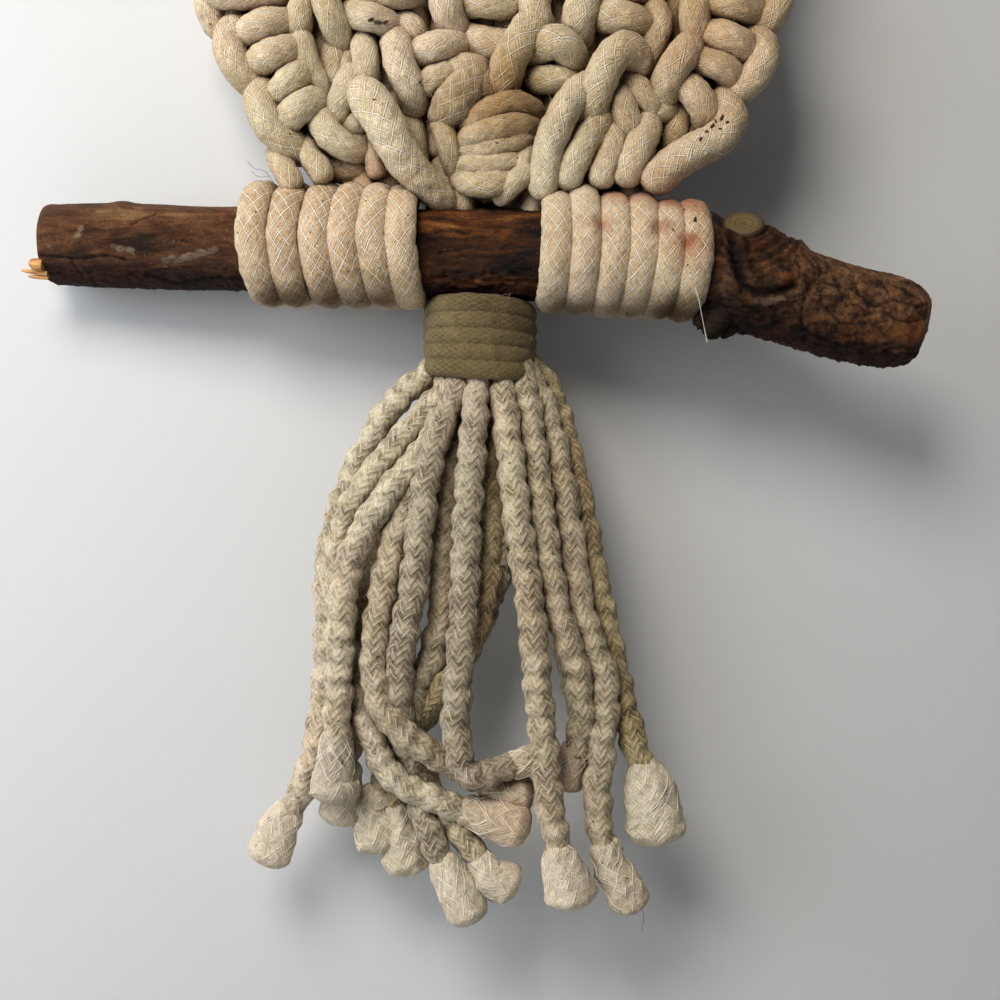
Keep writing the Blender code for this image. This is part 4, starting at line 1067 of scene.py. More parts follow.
# Torn wood: long pale splinters stand out of the broken left end, and a snapped twig hangs under the
# burl. The wood inside is orange where it tore and dark on the twig.
def torn_wood(name, light, dark):
    material, tree, shader, output = new_material(name)
    place = add_node(tree, "ShaderNodeTexCoord")
    along_grain = add_node(tree, "ShaderNodeMapping", links={"Vector": place.outputs["Object"]},
                           values={"Scale": (0.2, 1.0, 1.0)})
    fibre = add_node(tree, "ShaderNodeTexNoise", links={"Vector": along_grain.outputs["Vector"]},
                     values={"Scale": 1500.0, "Detail": 4.0})
    tone = add_node(tree, "ShaderNodeMapRange", {}, {"Value": fibre.outputs["Fac"]},
                    {"From Min": 0.35, "From Max": 0.65})
    colour = add_node(tree, "ShaderNodeMix", {"data_type": "RGBA"}, {0: tone.outputs["Result"]},
                      {6: linear(dark), 7: linear(light)})
    tree.links.new(colour.outputs[2], shader.inputs["Base Color"])
    bump = add_node(tree, "ShaderNodeBump", {}, {"Height": fibre.outputs["Fac"]},
                    {"Strength": 0.8, "Distance": 0.0003})
    tree.links.new(bump.outputs["Normal"], shader.inputs["Normal"])
    shader.inputs["Roughness"].default_value = 0.85
    shader.inputs["Specular IOR Level"].default_value = 0.2
    return material


pale_wood = torn_wood("torn_wood_pale", "#D2A268", "#9A6A40")
dark_wood = torn_wood("torn_wood_dark", "#24170B", "#0B0603")
SPLINTERS = (
    ((-90.5, -5.4, -93.4), (-93.6, -5.0, -93.0), 1.25), ((-90.0, -4.6, -95.0), (-95.3, -4.4, -94.3), 0.5),
    ((-90.0, -4.0, -95.7), (-94.2, -3.8, -95.4), 0.45), ((-91.0, 2.0, -90.0), (-93.6, 2.2, -90.4), 1.1),
)
points, faces, start = [], [], 0
for number, (root, tip, wide) in enumerate(SPLINTERS):
    root, tip = np.array(root), np.array(tip)
    rod, quads = disc_stack(root, tip - root, [(np.linalg.norm(tip - root) * s, wide * r) for s, r in
                            ((0, 1.0), (0.4, 1.0), (0.75, 0.85), (0.93, 0.5), (1, 0.06))], 9, 80 + number)
    points.append(rod)
    faces += [[v + start for v in quad] for quad in quads]
    start += len(rod)
splinters = mesh_object("torn_end_splinters", np.vstack(points) * MM, faces, pale_wood, smooth=False)
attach(splinters, "root")
twig_parts = (((46.0, -3.0, -100.5), (41.2, -4.2, -107.4), 3.1),
              ((42.6, -2.4, -100.6), (39.2, -3.4, -105.4), 2.3),
              ((48.0, -1.0, -103.0), (44.4, -3.4, -106.8), 2.4))
points, faces, start = [], [], 0
for number, (root, tip, wide) in enumerate(twig_parts):
    root, tip = np.array(root), np.array(tip)
    rod, quads = disc_stack(root, tip - root, [(np.linalg.norm(tip - root) * s, wide * r) for s, r in
                            ((0, 1.0), (0.35, 0.95), (0.7, 0.75), (0.9, 0.62), (1, 0.3), (1.02, 0.05))],
                            18, 90 + number)
    rod += unit(rod - root) * (0.9 * lumps(rod, 1.3, 95 + number) + 0.5 * lumps(rod, 0.6, 97))[:, None]
    points.append(rod)
    faces += [[v + start for v in quad] for quad in quads]
    start += len(rod)
twig = mesh_object("snapped_twig", np.vstack(points) * MM, faces, dark_wood)
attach(twig, "root")


# The knotwork: square knots in staggered rows, of the same thick cord. At each knot two filler cords
# run down the middle and one cord from either side crosses them, looping back at the edge. It narrows
# towards the branch, where the side cords run down into the foot wraps.

# The wide tint over the right half darkens it as painted shade; the wide one over the middle is a stain and
# painted shade; the small tints are stains
body_cotton = braided_cotton(
    "braided_cotton_ecru", "#EFE2C9", "#D0BC98", "#FFF8E6", yarn_show=0.7,
    stains_and_shade=(((-7.0, -4.0, -62.0), 9.0, "#DDB49C", 0.75), ((-23.0, -3.0, -73.0), 10.0, "#D9AE97", 0.7),
            ((-20.0, -4.0, -47.0), 4.0, "#D8A583", 0.6), ((-42.0, -2.0, -77.0), 7.0, "#DDB8A0", 0.6),
            ((32.0, -4.0, -78.0), 10.0, "#D59468", 0.6), ((-58.0, -4.0, -58.0), 22.0, "#E0D6A8", 0.5),
            ((8.0, -5.0, -58.0), 12.0, "#DDDCC4", 0.5), ((40.0, -4.0, -48.0), 34.0, "#D8BE9C", 0.75),
            ((-1.0, -4.0, -62.0), 20.0, "#CDAE86", 0.85)))

KNOT_CORDS = (
    # the left column
    ("edge_top", 5.4, ((-59.2, 0, -37.6), (-58.6, -3, -40.8), (-57.4, -2, -44.0), (-55.6, 0, -46.4))),
    ("band_top", 6, (
        (-59.0, -2, -39.6), (-55.0, -5, -39.8), (-50.0, -6, -40.0), (-45.6, -5, -39.6),
        (-42.4, -1, -38.4),
    )),
    ("first_bight", 6.6, (
        (-51.4, 0, -44.4), (-53.4, -3.5, -46.6), (-53.8, -5, -50.0), (-52.6, -5, -53.2),
        (-50.2, -3.5, -56.0), (-47.6, 0, -57.2),
    )),
    ("first_bar", 6.3, (
        (-51.6, -1, -47.6), (-49.6, -5, -47.0), (-46.4, -7, -46.2), (-43.4, -5, -45.4),
        (-41.6, -1, -44.8),
    )),
    ("second_bar", 6.3, (
        (-50.2, -1, -53.2), (-47.6, -5, -52.8), (-44.4, -7, -52.0), (-41.4, -5, -50.8),
        (-39.4, -1, -50.0),
    )),
    ("yellow_cord", 4.9, (
        (-40.2, 0, -46.8), (-39.4, -5, -48.8), (-38.6, -5.5, -51.6), (-37.2, -4.5, -54.8),
        (-35.6, -3, -58.0), (-34.4, -1, -61.2),
    )),
    ("second_bight", 6.7, (
        (-46.2, -1, -57.6), (-47.6, -4, -59.2), (-47.4, -5.5, -62.0), (-45.8, -6, -65.4),
        (-43.0, -5, -68.4), (-40.6, -3, -69.8), (-38.8, 0, -70.0),
    )),
    ("third_bar", 6, (
        (-45.2, -1, -60.2), (-43.4, -5, -59.0), (-41.4, -7, -57.4), (-39.6, -5, -55.6),
        (-38.2, -1, -54.4),
    )),
    ("fourth_bar", 6.2, (
        (-43.4, -1, -65.6), (-41.8, -5.5, -64.4), (-39.6, -7.5, -63.0), (-37.4, -5.5, -61.2),
        (-35.8, -1, -60.0),
    )),
    ("top_strand", 5.7, (
        (-38.8, -1, -38.0), (-39.0, -4, -40.8), (-39.6, -5.5, -43.6), (-40.2, -4.5, -46.2),
        (-41.2, 0, -48.4),
    )),
    # left of the middle
    ("long_strand", 6, (
        (-34.8, -2, -37.6), (-34.6, -6, -40.6), (-33.6, -6.5, -43.8), (-32.4, -4.5, -46.6),
        (-31.4, 0, -49.0),
    )),
    ("upper_band", 6, (
        (-31.4, -1, -38.4), (-27.6, -4, -39.0), (-23.2, -6, -39.8), (-19.6, -6, -39.8),
        (-16.4, -3, -38.8), (-14.4, 0, -36.8),
    )),
    ("stained_bar", 5.8, (
        (-30.8, -1, -42.6), (-28.6, -5, -43.8), (-25.6, -7, -44.8), (-22.8, -5.5, -45.4),
        (-20.4, -1, -45.4),
    )),
    ("grey_strand", 6, (
        (-32.4, 1, -46.8), (-33.2, -1.5, -50.0), (-33.8, -2, -53.2), (-34.0, -1, -56.4),
        (-33.8, 1, -58.8),
    )),
    ("lens", 5.6, (
        (-27.6, 0, -46.8), (-27.0, -4, -49.6), (-26.6, -5.5, -52.8), (-26.4, -4, -56.0),
        (-26.4, 0, -59.2),
    )),
    ("slanted", 5.6, (
        (-28.6, 0, -53.2), (-29.8, -4, -56.0), (-31.2, -5, -59.6), (-32.4, -4, -62.8),
        (-33.0, -1, -66.4),
    )),
    ("cup", 5.8, (
        (-35.6, -1, -60.8), (-35.8, -4, -63.6), (-34.8, -6, -66.4), (-32.4, -6.5, -69.0),
        (-29.6, -5, -70.2), (-27.2, -2, -69.6), (-26.0, 1, -68.0),
    )),
    ("cup_lobe", 5.2, ((-31.0, 0, -68.0), (-29.6, -3, -66.2), (-27.8, -3.5, -64.4), (-26.0, 0, -62.8))),
    ("big_bight", 6.5, (
        (-20.2, 0, -47.2), (-20.6, -5, -49.4), (-20.0, -7, -52.6), (-19.0, -7, -56.0),
        (-17.6, -5.5, -59.2), (-16.4, -1, -62.0),
    )),
    ("behind_bar", 6, ((-20.6, 0, -43.6), (-19.0, -3, -45.0), (-17.2, -3.5, -46.8), (-15.8, 0, -49.2))),
    ("middle_bar", 6.1, (
        (-17.6, -1, -51.6), (-15.6, -5, -51.4), (-12.6, -7, -50.6), (-9.6, -5.5, -49.8),
        (-7.0, -1, -49.2),
    )),
    ("middle_bar_low", 5.6, (
        (-16.4, -1, -58.6), (-14.6, -5, -57.6), (-12.0, -6, -56.4), (-9.4, -4.5, -55.2),
        (-7.2, 0, -54.2),
    )),
    ("top_middle", 6.5, (
        (-10.4, -2, -37.6), (-10.8, -6, -40.0), (-10.6, -7, -42.8), (-9.6, -5, -45.2),
        (-8.0, -1, -47.4),
    )),
    ("top_bar", 5, (
        (-7.8, -2, -41.2), (-5.2, -5.5, -42.0), (-2.0, -6.5, -42.4), (1.6, -5, -42.4), (5.0, -1, -41.6),
    )),
    # the middle
    ("short_strand", 4.6, (
        (-12.0, -1, -63.2), (-11.4, -5, -66.0), (-10.4, -6, -69.6), (-9.4, -4, -72.8), (-8.8, 0, -75.6),
    )),
    ("wide_band", 4.9, (
        (-7.8, -1, -66.2), (-5.4, -6, -65.0), (-2.0, -8, -63.4), (2.4, -8, -62.0), (5.8, -5, -62.2),
        (7.8, -1, -63.6),
    )),
    ("wide_band_low", 4.9, (
        (-8.6, -1, -69.2), (-6.2, -6, -68.6), (-2.2, -8, -67.4), (2.2, -8, -66.2), (5.8, -5, -66.0),
        (7.8, -1, -67.0),
    )),
    ("band_two", 5.2, (
        (-9.0, -1, -70.4), (-6.0, -5, -70.2), (-1.6, -6.5, -69.8), (3.0, -6, -68.8), (7.0, -2, -67.6),
    )),
    ("band_three", 5, (
        (-9.0, -1, -73.2), (-6.0, -5, -73.4), (-1.6, -6, -73.6), (2.4, -5, -72.8), (5.4, -1, -71.6),
    )),
    ("band_four", 5.6, (
        (-8.6, -1, -75.6), (-6.4, -4, -76.8), (-2.8, -6, -77.4), (1.2, -5, -76.8), (5.0, -1, -75.2),
    )),
    ("small_strand", 4.6, ((7.0, -2, -73.6), (4.8, -6, -75.6), (2.0, -6, -78.0), (-0.6, -2, -80.0))),
    ("side_strand", 5, ((7.6, -1, -68.8), (5.8, -4, -71.2), (4.0, -5, -74.0), (2.4, -2, -76.6))),
    ("pink_lobe", 7, (
        (-11.2, 0, -52.4), (-8.4, -4, -54.0), (-5.2, -5.5, -56.0), (-3.2, -4, -59.2), (-2.4, 0, -62.0),
    )),
    # right of the middle
    ("short_top", 6.6, (
        (8.2, -2, -37.2), (7.2, -5, -40.0), (6.8, -6, -42.4), (7.6, -5, -45.2), (9.2, -1, -47.6),
    )),
    ("front_bight", 7.2, (
        (7.6, -1, -43.6), (5.8, -6, -46.8), (3.6, -7.5, -50.4), (1.8, -7, -54.0), (0.6, -5, -57.2),
        (0.0, -1, -59.8),
    )),
    ("hump", 6.8, (
        (6.4, -1, -51.4), (8.6, -6, -50.2), (11.2, -7.5, -50.0), (13.6, -6, -51.2), (15.2, -1, -53.4),
    )),
    ("hump_low", 5.8, (
        (6.0, -1, -55.6), (8.0, -4, -56.2), (10.6, -5, -56.6), (13.0, -4, -56.4), (15.0, -1, -55.4),
    )),
    ("puffy_band", 7, (
        (-7.6, 0, -46.8), (-4.8, -3, -48.4), (-1.2, -4, -49.6), (1.6, -3, -49.2), (4.0, 0, -47.6),
    )),
    ("second_top", 7, (
        (18.4, -2, -37.6), (17.2, -6, -40.4), (16.0, -7, -43.2), (15.4, -5, -46.0), (15.6, -1, -48.8),
    )),
    ("round_bar", 6.7, (
        (19.4, -1, -42.8), (21.6, -5.5, -44.0), (24.4, -7, -45.0), (27.2, -5.5, -45.6),
        (29.2, -1, -46.0),
    )),
    ("band_right", 5.6, ((19.6, -1, -37.6), (23.0, -5, -38.8), (27.0, -5, -38.8), (32.2, -1, -37.8))),
    ("hook_strand", 5.4, (
        (29.2, -1, -40.8), (31.2, -4, -42.8), (31.6, -5, -46.0), (30.4, -5, -49.6), (29.0, -4, -52.8),
        (28.2, -1, -56.0),
    )),
    ("front_hook", 6.8, (
        (28.4, -2, -55.2), (27.4, -5, -52.6), (25.0, -8, -51.4), (22.4, -9, -52.8), (20.4, -9, -56.0),
        (19.0, -8, -59.6), (18.0, -6, -62.8), (17.6, -2, -65.2),
    )),
    ("low_lobe", 5.8, (
        (23.4, -1, -57.6), (24.0, -5, -60.4), (24.8, -6, -63.6), (26.0, -5, -66.4), (27.0, -1, -69.0),
    )),
    ("cross_lobe", 5.6, (
        (25.0, -1, -55.2), (26.4, -4, -57.2), (28.2, -5, -59.6), (30.0, -4, -61.6), (31.2, -1, -63.6),
    )),
    ("small_lobe", 4.6, ((27.6, 0, -60.2), (30.0, -3, -62.0), (32.4, -3.5, -62.4), (35.2, -1, -61.4))),
    # the right column
    ("third_top", 6.3, (
        (40.0, -2, -37.6), (39.2, -5, -40.4), (38.4, -6.5, -43.6), (38.8, -5.5, -46.8),
        (39.8, -2, -49.8),
    )),
    ("right_bar_top", 6.4, (
        (41.0, -2, -40.4), (43.6, -6, -41.6), (46.6, -7, -42.4), (49.6, -5, -42.6), (51.8, -1, -42.0),
    )),
    ("right_loop", 6.2, (
        (54.0, -1, -36.4), (55.2, -4, -39.0), (54.8, -5, -42.0), (53.2, -4, -44.4), (51.0, -1, -45.8),
    )),
    ("right_bar", 6.6, (
        (40.2, -1, -47.0), (42.4, -5.5, -48.0), (45.4, -7, -49.2), (48.0, -5.5, -50.4),
        (50.2, -1, -51.8),
    )),
    ("right_hook", 6.3, (
        (49.2, -1, -47.0), (51.4, -4, -48.4), (52.2, -5.5, -51.2), (51.4, -6, -54.4), (49.0, -5, -57.2),
        (46.2, -3, -58.8), (43.8, 0, -58.4),
    )),
    ("knuckle", 6.6, (
        (38.2, -2, -48.4), (37.2, -6, -50.8), (35.4, -8, -53.2), (33.6, -7, -56.0), (32.6, -4, -58.8),
        (32.4, 0, -61.2),
    )),
    ("low_bar", 5.7, (
        (37.8, -1, -52.2), (40.0, -5.5, -53.2), (43.0, -7, -54.4), (45.6, -5.5, -55.6),
        (47.8, -1, -57.0),
    )),
    ("low_right", 6.2, (
        (35.4, -1, -56.6), (37.2, -5, -58.0), (39.2, -6, -60.4), (40.8, -5, -62.8), (41.4, -1, -65.2),
    )),
)
LEG_CORDS = (
    # to the left foot wrap
    ("first_leg", 5, (
        (-44.8, 0, -69.2), (-44.2, -3, -71.6), (-42.8, -5, -74.2), (-41.4, -6.5, -76.8),
        (-40.4, -6, -79.2),
    )),
    ("second_leg", 4.8, (
        (-39.4, 0, -66.0), (-38.8, -3, -69.2), (-37.4, -5, -72.0), (-35.6, -6, -74.8),
        (-34.4, -6, -77.6),
    )),
    ("cross_leg", 5.2, (
        (-35.6, 0, -72.8), (-33.0, -1.5, -73.4), (-30.0, -1.5, -73.6), (-26.4, 0, -73.2),
    )),
    ("fourth_leg", 4.4, (
        (-26.8, 0, -66.4), (-26.0, -3, -69.2), (-25.0, -4, -72.2), (-24.2, -3, -76.0),
    )),
    # to the right foot wrap
    ("long_leg", 6.4, (
        (18.4, -3, -56.8), (15.8, -7, -59.4), (13.2, -9, -63.0), (11.2, -9, -66.8), (9.8, -8, -70.4),
        (9.0, -7, -74.0), (8.6, -6, -77.2), (8.2, -4, -80.0),
    )),
    ("third_leg", 6, (
        (21.0, -3, -63.0), (19.0, -6, -66.0), (16.8, -7, -69.6), (15.0, -7, -72.8), (13.6, -6, -75.6),
        (12.8, -5, -78.8),
    )),
    ("lens_leg", 5.8, (
        (22.2, -2, -64.8), (22.6, -5, -68.0), (21.8, -6, -71.2), (20.6, -6, -74.4), (19.6, -5, -78.4),
    )),
    ("twin_leg", 6.2, (
        (29.4, -2, -63.6), (29.0, -5, -66.8), (27.6, -6.5, -70.0), (25.8, -6.5, -73.6),
        (24.2, -5, -78.0),
    )),
    ("hidden_leg", 6, (
        (34.2, 1, -60.8), (35.2, -1, -64.4), (35.2, -1, -67.6), (34.2, 0, -71.2), (32.4, -2, -74.8),
    )),
    ("slack_leg", 7.2, (
        (42.8, -2, -59.4), (44.8, -4, -61.4), (45.6, -5, -64.2), (44.4, -5.5, -67.2), (41.6, -6, -69.4),
        (38.0, -6.5, -71.2), (34.4, -6.5, -73.6), (31.2, -6, -76.2), (29.2, -5, -78.8),
    )),
)
groups = {}
for number, (name, width, route) in enumerate(KNOT_CORDS + LEG_CORDS):
    middle = np.mean([p[0] for p in route])
    side = "left" if middle < -33 else "middle_left" if middle < -8 else (
        "middle" if middle < 12 else "middle_right" if middle < 33 else "right")
    skin = wound(route, width=width, step=0.52, around=32, rough=0.26, taper=width * 0.42,
                 seed=100 + number, fuzz=0.4)
    groups.setdefault(side, []).append(skin)
# The thickest cord runs loose across the front and passes behind the top of the branch
front_route = (
    (-27.6, -2.0, -58.4), (-26.4, -7.0, -60.4), (-24.0, -9.0, -64.0), (-21.6, -9.5, -68.4),
    (-19.0, -8.5, -73.0), (-15.6, -6.5, -76.8), (-12.0, -3.5, -79.6), (-8.6, 1.0, -81.6),
)
groups["middle_left"].append(wound(
    front_route, step=0.5, around=38, width=7.6, rough=0.3, seed=180, fuzz=0.8,
    swell=((0, 3.2), (0.2, 4.1), (0.5, 3.9), (0.75, 3.2), (1, 2.6))))
for side, skins in groups.items():
    piece = cords_piece(f"knotwork_front_{side}", skins, body_cotton)
    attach(piece, "root")
    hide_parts("knot_panel")

# Behind and above the front cords the knots are plain: fillers straight down the middle, two bars
# across them on either face, a loop at the side, and cords slanting to the knots of the next row.
KNOT_ROW = 13.0
KNOT_COLUMN = 19.0
OUTLINE = ((-0.8, -57.0, 56.0), (-40, -57.0, 55.5), (-52, -54.5, 53.0), (-60, -49.0, 47.5),
           (-67, -46.0, 42.0), (-72, -42.0, 37.0))
FACE = 5.6  # how far the bars' middles stand from the knotwork's middle


def outline_at(z):
    zs, lefts, rights = zip(*OUTLINE[::-1])
    return np.interp(z, zs, lefts), np.interp(z, zs, rights)


plain = {"upper_front": [], "upper_back": [], "upper_core": [], "lower_back": [], "lower_core": []}
rows = [-7.0 - KNOT_ROW * k for k in range(6)]
number = 0
for row, z in enumerate(rows):
    low, high = outline_at(z)
    shift = KNOT_COLUMN / 2 if row % 2 == 0 else 0
    for column in range(-4, 5):
        x = -0.5 + KNOT_COLUMN * column + shift
        if x - 9 < low - 2.5 or x + 9 > high + 2.5:
            continue
        number += 1
        lean = rng.uniform(-0.8, 0.8)
        where = "upper" if z > -36 else "lower"
        for face, name in ((-1, "front"), (1, "back")):
            if where == "lower" and face < 0:
                continue
            side = 1 if (row + (face > 0)) % 2 else -1
            for drop, flip in ((2.7, 1), (-2.9, -1)):
                bar = [(x - 7.6, face * 0.6, z + drop - 0.7 * flip),
                       (x - 5.0, face * (FACE - 1.2), z + drop - 0.5 * flip),
                       (x, face * FACE, z + drop + lean * 0.3),
                       (x + 5.0, face * (FACE - 1.2), z + drop + 0.5 * flip),
                       (x + 7.6, face * 0.6, z + drop + 0.7 * flip)]
                plain[f"{where}_{name}"].append(wound(
                    bar, width=5.9, step=1.0, around=16, rough=0.15, seed=200 + number, fuzz=0.35,
                    taper=2.4))
            loop = [(x + side * 4.6, face * 0.8, z + 6.6), (x + side * 7.6, face * 3.2, z + 4.8),
                    (x + side * 8.9, face * 3.9, z + 0.6), (x + side * 8.0, face * 3.2, z - 4.0),
                    (x + side * 4.8, face * 0.8, z - 6.4)]
            plain[f"{where}_{name}"].append(wound(
                loop, width=5.8, step=1.0, around=16, rough=0.15, seed=230 + number, fuzz=0.35, taper=2.4))
        for side in (-1, 1):
            filler = [(x + side * 2.7, 0, z + 8.2), (x + side * 2.7, 0, z), (x + side * 2.7, 0, z - 8.2)]
            plain[f"{where}_core"].append(wound(
                filler, width=5.2, step=1.3, around=14, seed=260 + number, taper=2.4, fuzz=0.1))
            next_low, next_high = outline_at(z - KNOT_ROW)
            to_x = min(max(x + side * 6.9, next_low + 2.6), next_high - 2.6)
            slant = [(x + side * 7.4, 1.0, z + 1.5), (x + side * 8.4, -0.6, z - 2.5),
                     ((x + side * 8.0 + to_x) / 2, -1.6, z - 6.8), (to_x, -0.6, z - 10.6),
                     (to_x - side * 0.4, 1.0, z - 14.5)]
            plain[f"{where}_core"].append(wound(
                slant, width=5.2, step=1.1, around=16, rough=0.12, seed=290 + number, taper=2.2, fuzz=0.3))
# The outermost cords run straight down each edge between the knots
for side in (0, 1):
    inward = 2.9 if side == 0 else -2.9
    route = [(outline_at(z)[side] + inward + 0.5 * math.sin(z * 0.48), 0.8 * math.sin(z * 0.24), z)
             for z in np.arange(-2.6, -72, -3.2)]
    plain["lower_core"].append(wound(route, width=5.6, step=1.0, around=18, rough=0.15, seed=330 + side))
# The top edge, where the work is cut from the rest of the hanging: the cords fold over side by side
for k in range(19):
    x = -53.6 + 5.9 * k
    fold = [(x, -2.6, -9.0), (x, -3.1, -5.4), (x, -1.9, -3.2), (x, 0.0, -2.5), (x, 1.9, -3.2),
            (x, 3.1, -5.4), (x, 2.6, -9.0)]
    plain["upper_core"].append(wound(fold, width=5.4, step=0.9, around=16, rough=0.12, seed=350 + k,
                                     taper=2.0))
# Filler cords fill the depth of the lower knotwork, side by side
for k in range(19):
    x = -53.0 + 5.9 * k
    foot = -66.0 - 6.5 * (1 - abs(x) / 60)
    while not outline_at(foot)[0] + 2.2 < x < outline_at(foot)[1] - 2.2:
        foot += 1.0
    route = [(x + 0.8 * math.sin(k + z * 0.3), 0.9 + 0.9 * math.sin(1.7 * k + z * 0.22), z)
             for z in np.linspace(-30.0, foot, 8)]
    plain["lower_core"].append(wound(route, width=5.9, step=1.2, around=14, seed=380 + k, taper=2.2))
for name, skins in plain.items():
    piece = cords_piece(f"knotwork_{name}", skins, body_cotton)
    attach(piece, "root")
    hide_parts("knot_panel")


# Slack cord above the branch: three short runs of it, fat and soft where the knots have lost their
# pull, fill the gaps between the cords in the middle and at the left.
burst_cotton = braided_cotton("burst_cotton", "#D6C19F", "#A58D6A", "#FFF6E4", groove_shade=0.1, yarn_show=0.35,
                              tufts=0.5)
lobes = [wound(route, width=wide * 2, step=0.5, around=34, seed=120 + i, rough=0.5, fuzz=5.0, puff=0,
               taper=wide * 0.8, swell=((0, wide * 0.6), (0.35, wide), (0.7, wide * 0.9), (1, wide * 0.6)))
         for i, (wide, route) in enumerate((
             (4.3, ((-12.2, -1.5, -66.0), (-10.0, -5.6, -63.0), (-7.6, -6.6, -59.6), (-5.4, -5.4, -55.6),
                    (-4.4, -1.5, -52.0))),
             (2.6, ((-36.0, -0.5, -73.0), (-31.0, -2.0, -74.2), (-26.0, -0.5, -74.6))),
             (3.0, ((-10.0, -0.5, -76.0), (-4.0, -1.6, -76.8), (3.0, -0.5, -76.4)))))]
lobe = cords_piece("burst_filling", lobes, burst_cotton)
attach(lobe, "root")


# Dirt caught in the cotton: crumbs of bark and dark seeds, each pressed into the front of a cord
crumb_wood, tree, shader, output = new_material("bark_crumb")
place = add_node(tree, "ShaderNodeTexCoord")
tone = add_node(tree, "ShaderNodeTexNoise", links={"Vector": place.outputs["Object"]},
                values={"Scale": 900.0, "Detail": 2.0})
shade = add_node(tree, "ShaderNodeMix", {"data_type": "RGBA"}, {0: tone.outputs["Fac"]},
                 {6: linear("#1B120B"), 7: linear("#4A3220")})
tree.links.new(shade.outputs[2], shader.inputs["Base Color"])
shader.inputs["Roughness"].default_value = 0.85

# Where the crumbs sit: X and Z, half length, half width and lean in degrees
CRUMBS = (
    (37.8, -85.6, 0.55, 0.30, 80), (33.5, -87.8, 0.50, 0.14, 130), (25.2, -79.8, 0.25, 0.2, 0),
    (-25.2, -46.3, 0.7, 0.35, 15), (-23.8, -46.7, 0.9, 0.4, -10), (-22.4, -46.5, 0.6, 0.3, 20),
    (39.1, -69.6, 0.5, 0.25, 60), (40.3, -68.0, 0.35, 0.22, 20), (41.5, -66.8, 0.6, 0.25, 50),
    (42.2, -65.7, 0.5, 0.2, 110), (43.4, -65.1, 0.7, 0.3, 70), (44.4, -66.1, 0.4, 0.25, 30),
    (43.0, -67.4, 0.3, 0.2, 0), (-3.9, -61.4, 0.45, 0.25, 60), (-15.6, -58.2, 0.3, 0.25, 0),
    (5.1, -57.3, 0.28, 0.24, 0), (-0.6, -70.2, 0.4, 0.2, -20), (36.0, -83.2, 0.3, 0.15, 40),
)
cord_meshes = [o for o in bpy.context.scene.objects if o.name.startswith(("knot", "foot", "tassel", "cut"))]
surface = []
for piece in cord_meshes:
    block = np.empty(len(piece.data.vertices) * 3, np.float32)
    piece.data.vertices.foreach_get("co", block)
    surface.append(block.reshape(-1, 3) / MM)
surface = np.vstack(surface)


def front_at(x, z, reach=0.7):
    """How far forward the cotton stands at this X and Z, or None where there is none."""
    near = surface[(np.abs(surface[:, 0] - x) < reach) & (np.abs(surface[:, 2] - z) < reach)]
    return float(near[:, 1].min()) if len(near) else None


def crumb(points, faces, middle, long, wide, lean, seed):
    rings, around = 5, 8
    up = np.linspace(-math.pi / 2 + 0.2, math.pi / 2 - 0.2, rings)
    turn = np.linspace(0, 2 * math.pi, around, endpoint=False)
    ball = np.stack([np.broadcast_to(np.sin(up)[:, None], (rings, around)),
                     np.cos(up)[:, None] * np.cos(turn), np.cos(up)[:, None] * np.sin(turn)], -1)
    ball = ball.reshape(-1, 3) * [long, min(wide, 0.28), wide]
    ball *= 1 + 0.35 * lumps(ball, 0.3, seed)[:, None]
    c, n = math.cos(math.radians(lean)), math.sin(math.radians(lean))
    ball = np.column_stack([ball[:, 0] * c - ball[:, 2] * n, ball[:, 1], ball[:, 0] * n + ball[:, 2] * c])
    start = sum(len(p) for p in points)
    faces += (tube_faces(rings, around) + start).tolist()
    faces += [[start + j for j in range(around)][::-1],
              [start + (rings - 1) * around + j for j in range(around)]]
    points.append(ball + middle)


points, faces = [], []
for number, (x, z, long, wide, lean) in enumerate(CRUMBS):
    front = front_at(x, z)
    if front is not None:
        crumb(points, faces, (x, front + 0.05, z), long, wide, lean, 400 + number)
CRUMB_COUNT = 95
scatter = np.random.default_rng(21)
while len(points) < CRUMB_COUNT:
    x, z = scatter.uniform(-58, 56), scatter.uniform(-215, -40)
    front = front_at(x, z, 0.45)
    beside = [front_at(x + dx, z + dz, 0.45) for dx, dz in ((-0.9, 0), (0.9, 0), (0, -0.9), (0, 0.9))]
    if front is not None and front < -3.0 and all(b is not None and b < front + 0.8 for b in beside):
        crumb(points, faces, (x, front + 0.05, z), *scatter.uniform(0.10, 0.24, 2), scatter.uniform(0, 180),
              500 + len(points))
crumbs = mesh_object("bark_crumbs", np.vstack(points) * MM, faces, crumb_wood)
points, faces = [], []
crumb(points, faces, (-31.0, front_at(-31.0, -191.6) + 0.05, -191.6), 0.55, 0.16, 75, 600)
red_mark, tree, shader, output = new_material("dried_berry_speck")
shader.inputs["Base Color"].default_value = linear("#5A1418")
shader.inputs["Roughness"].default_value = 0.8
berry = mesh_object("berry_speck", np.vstack(points) * MM, faces, red_mark)
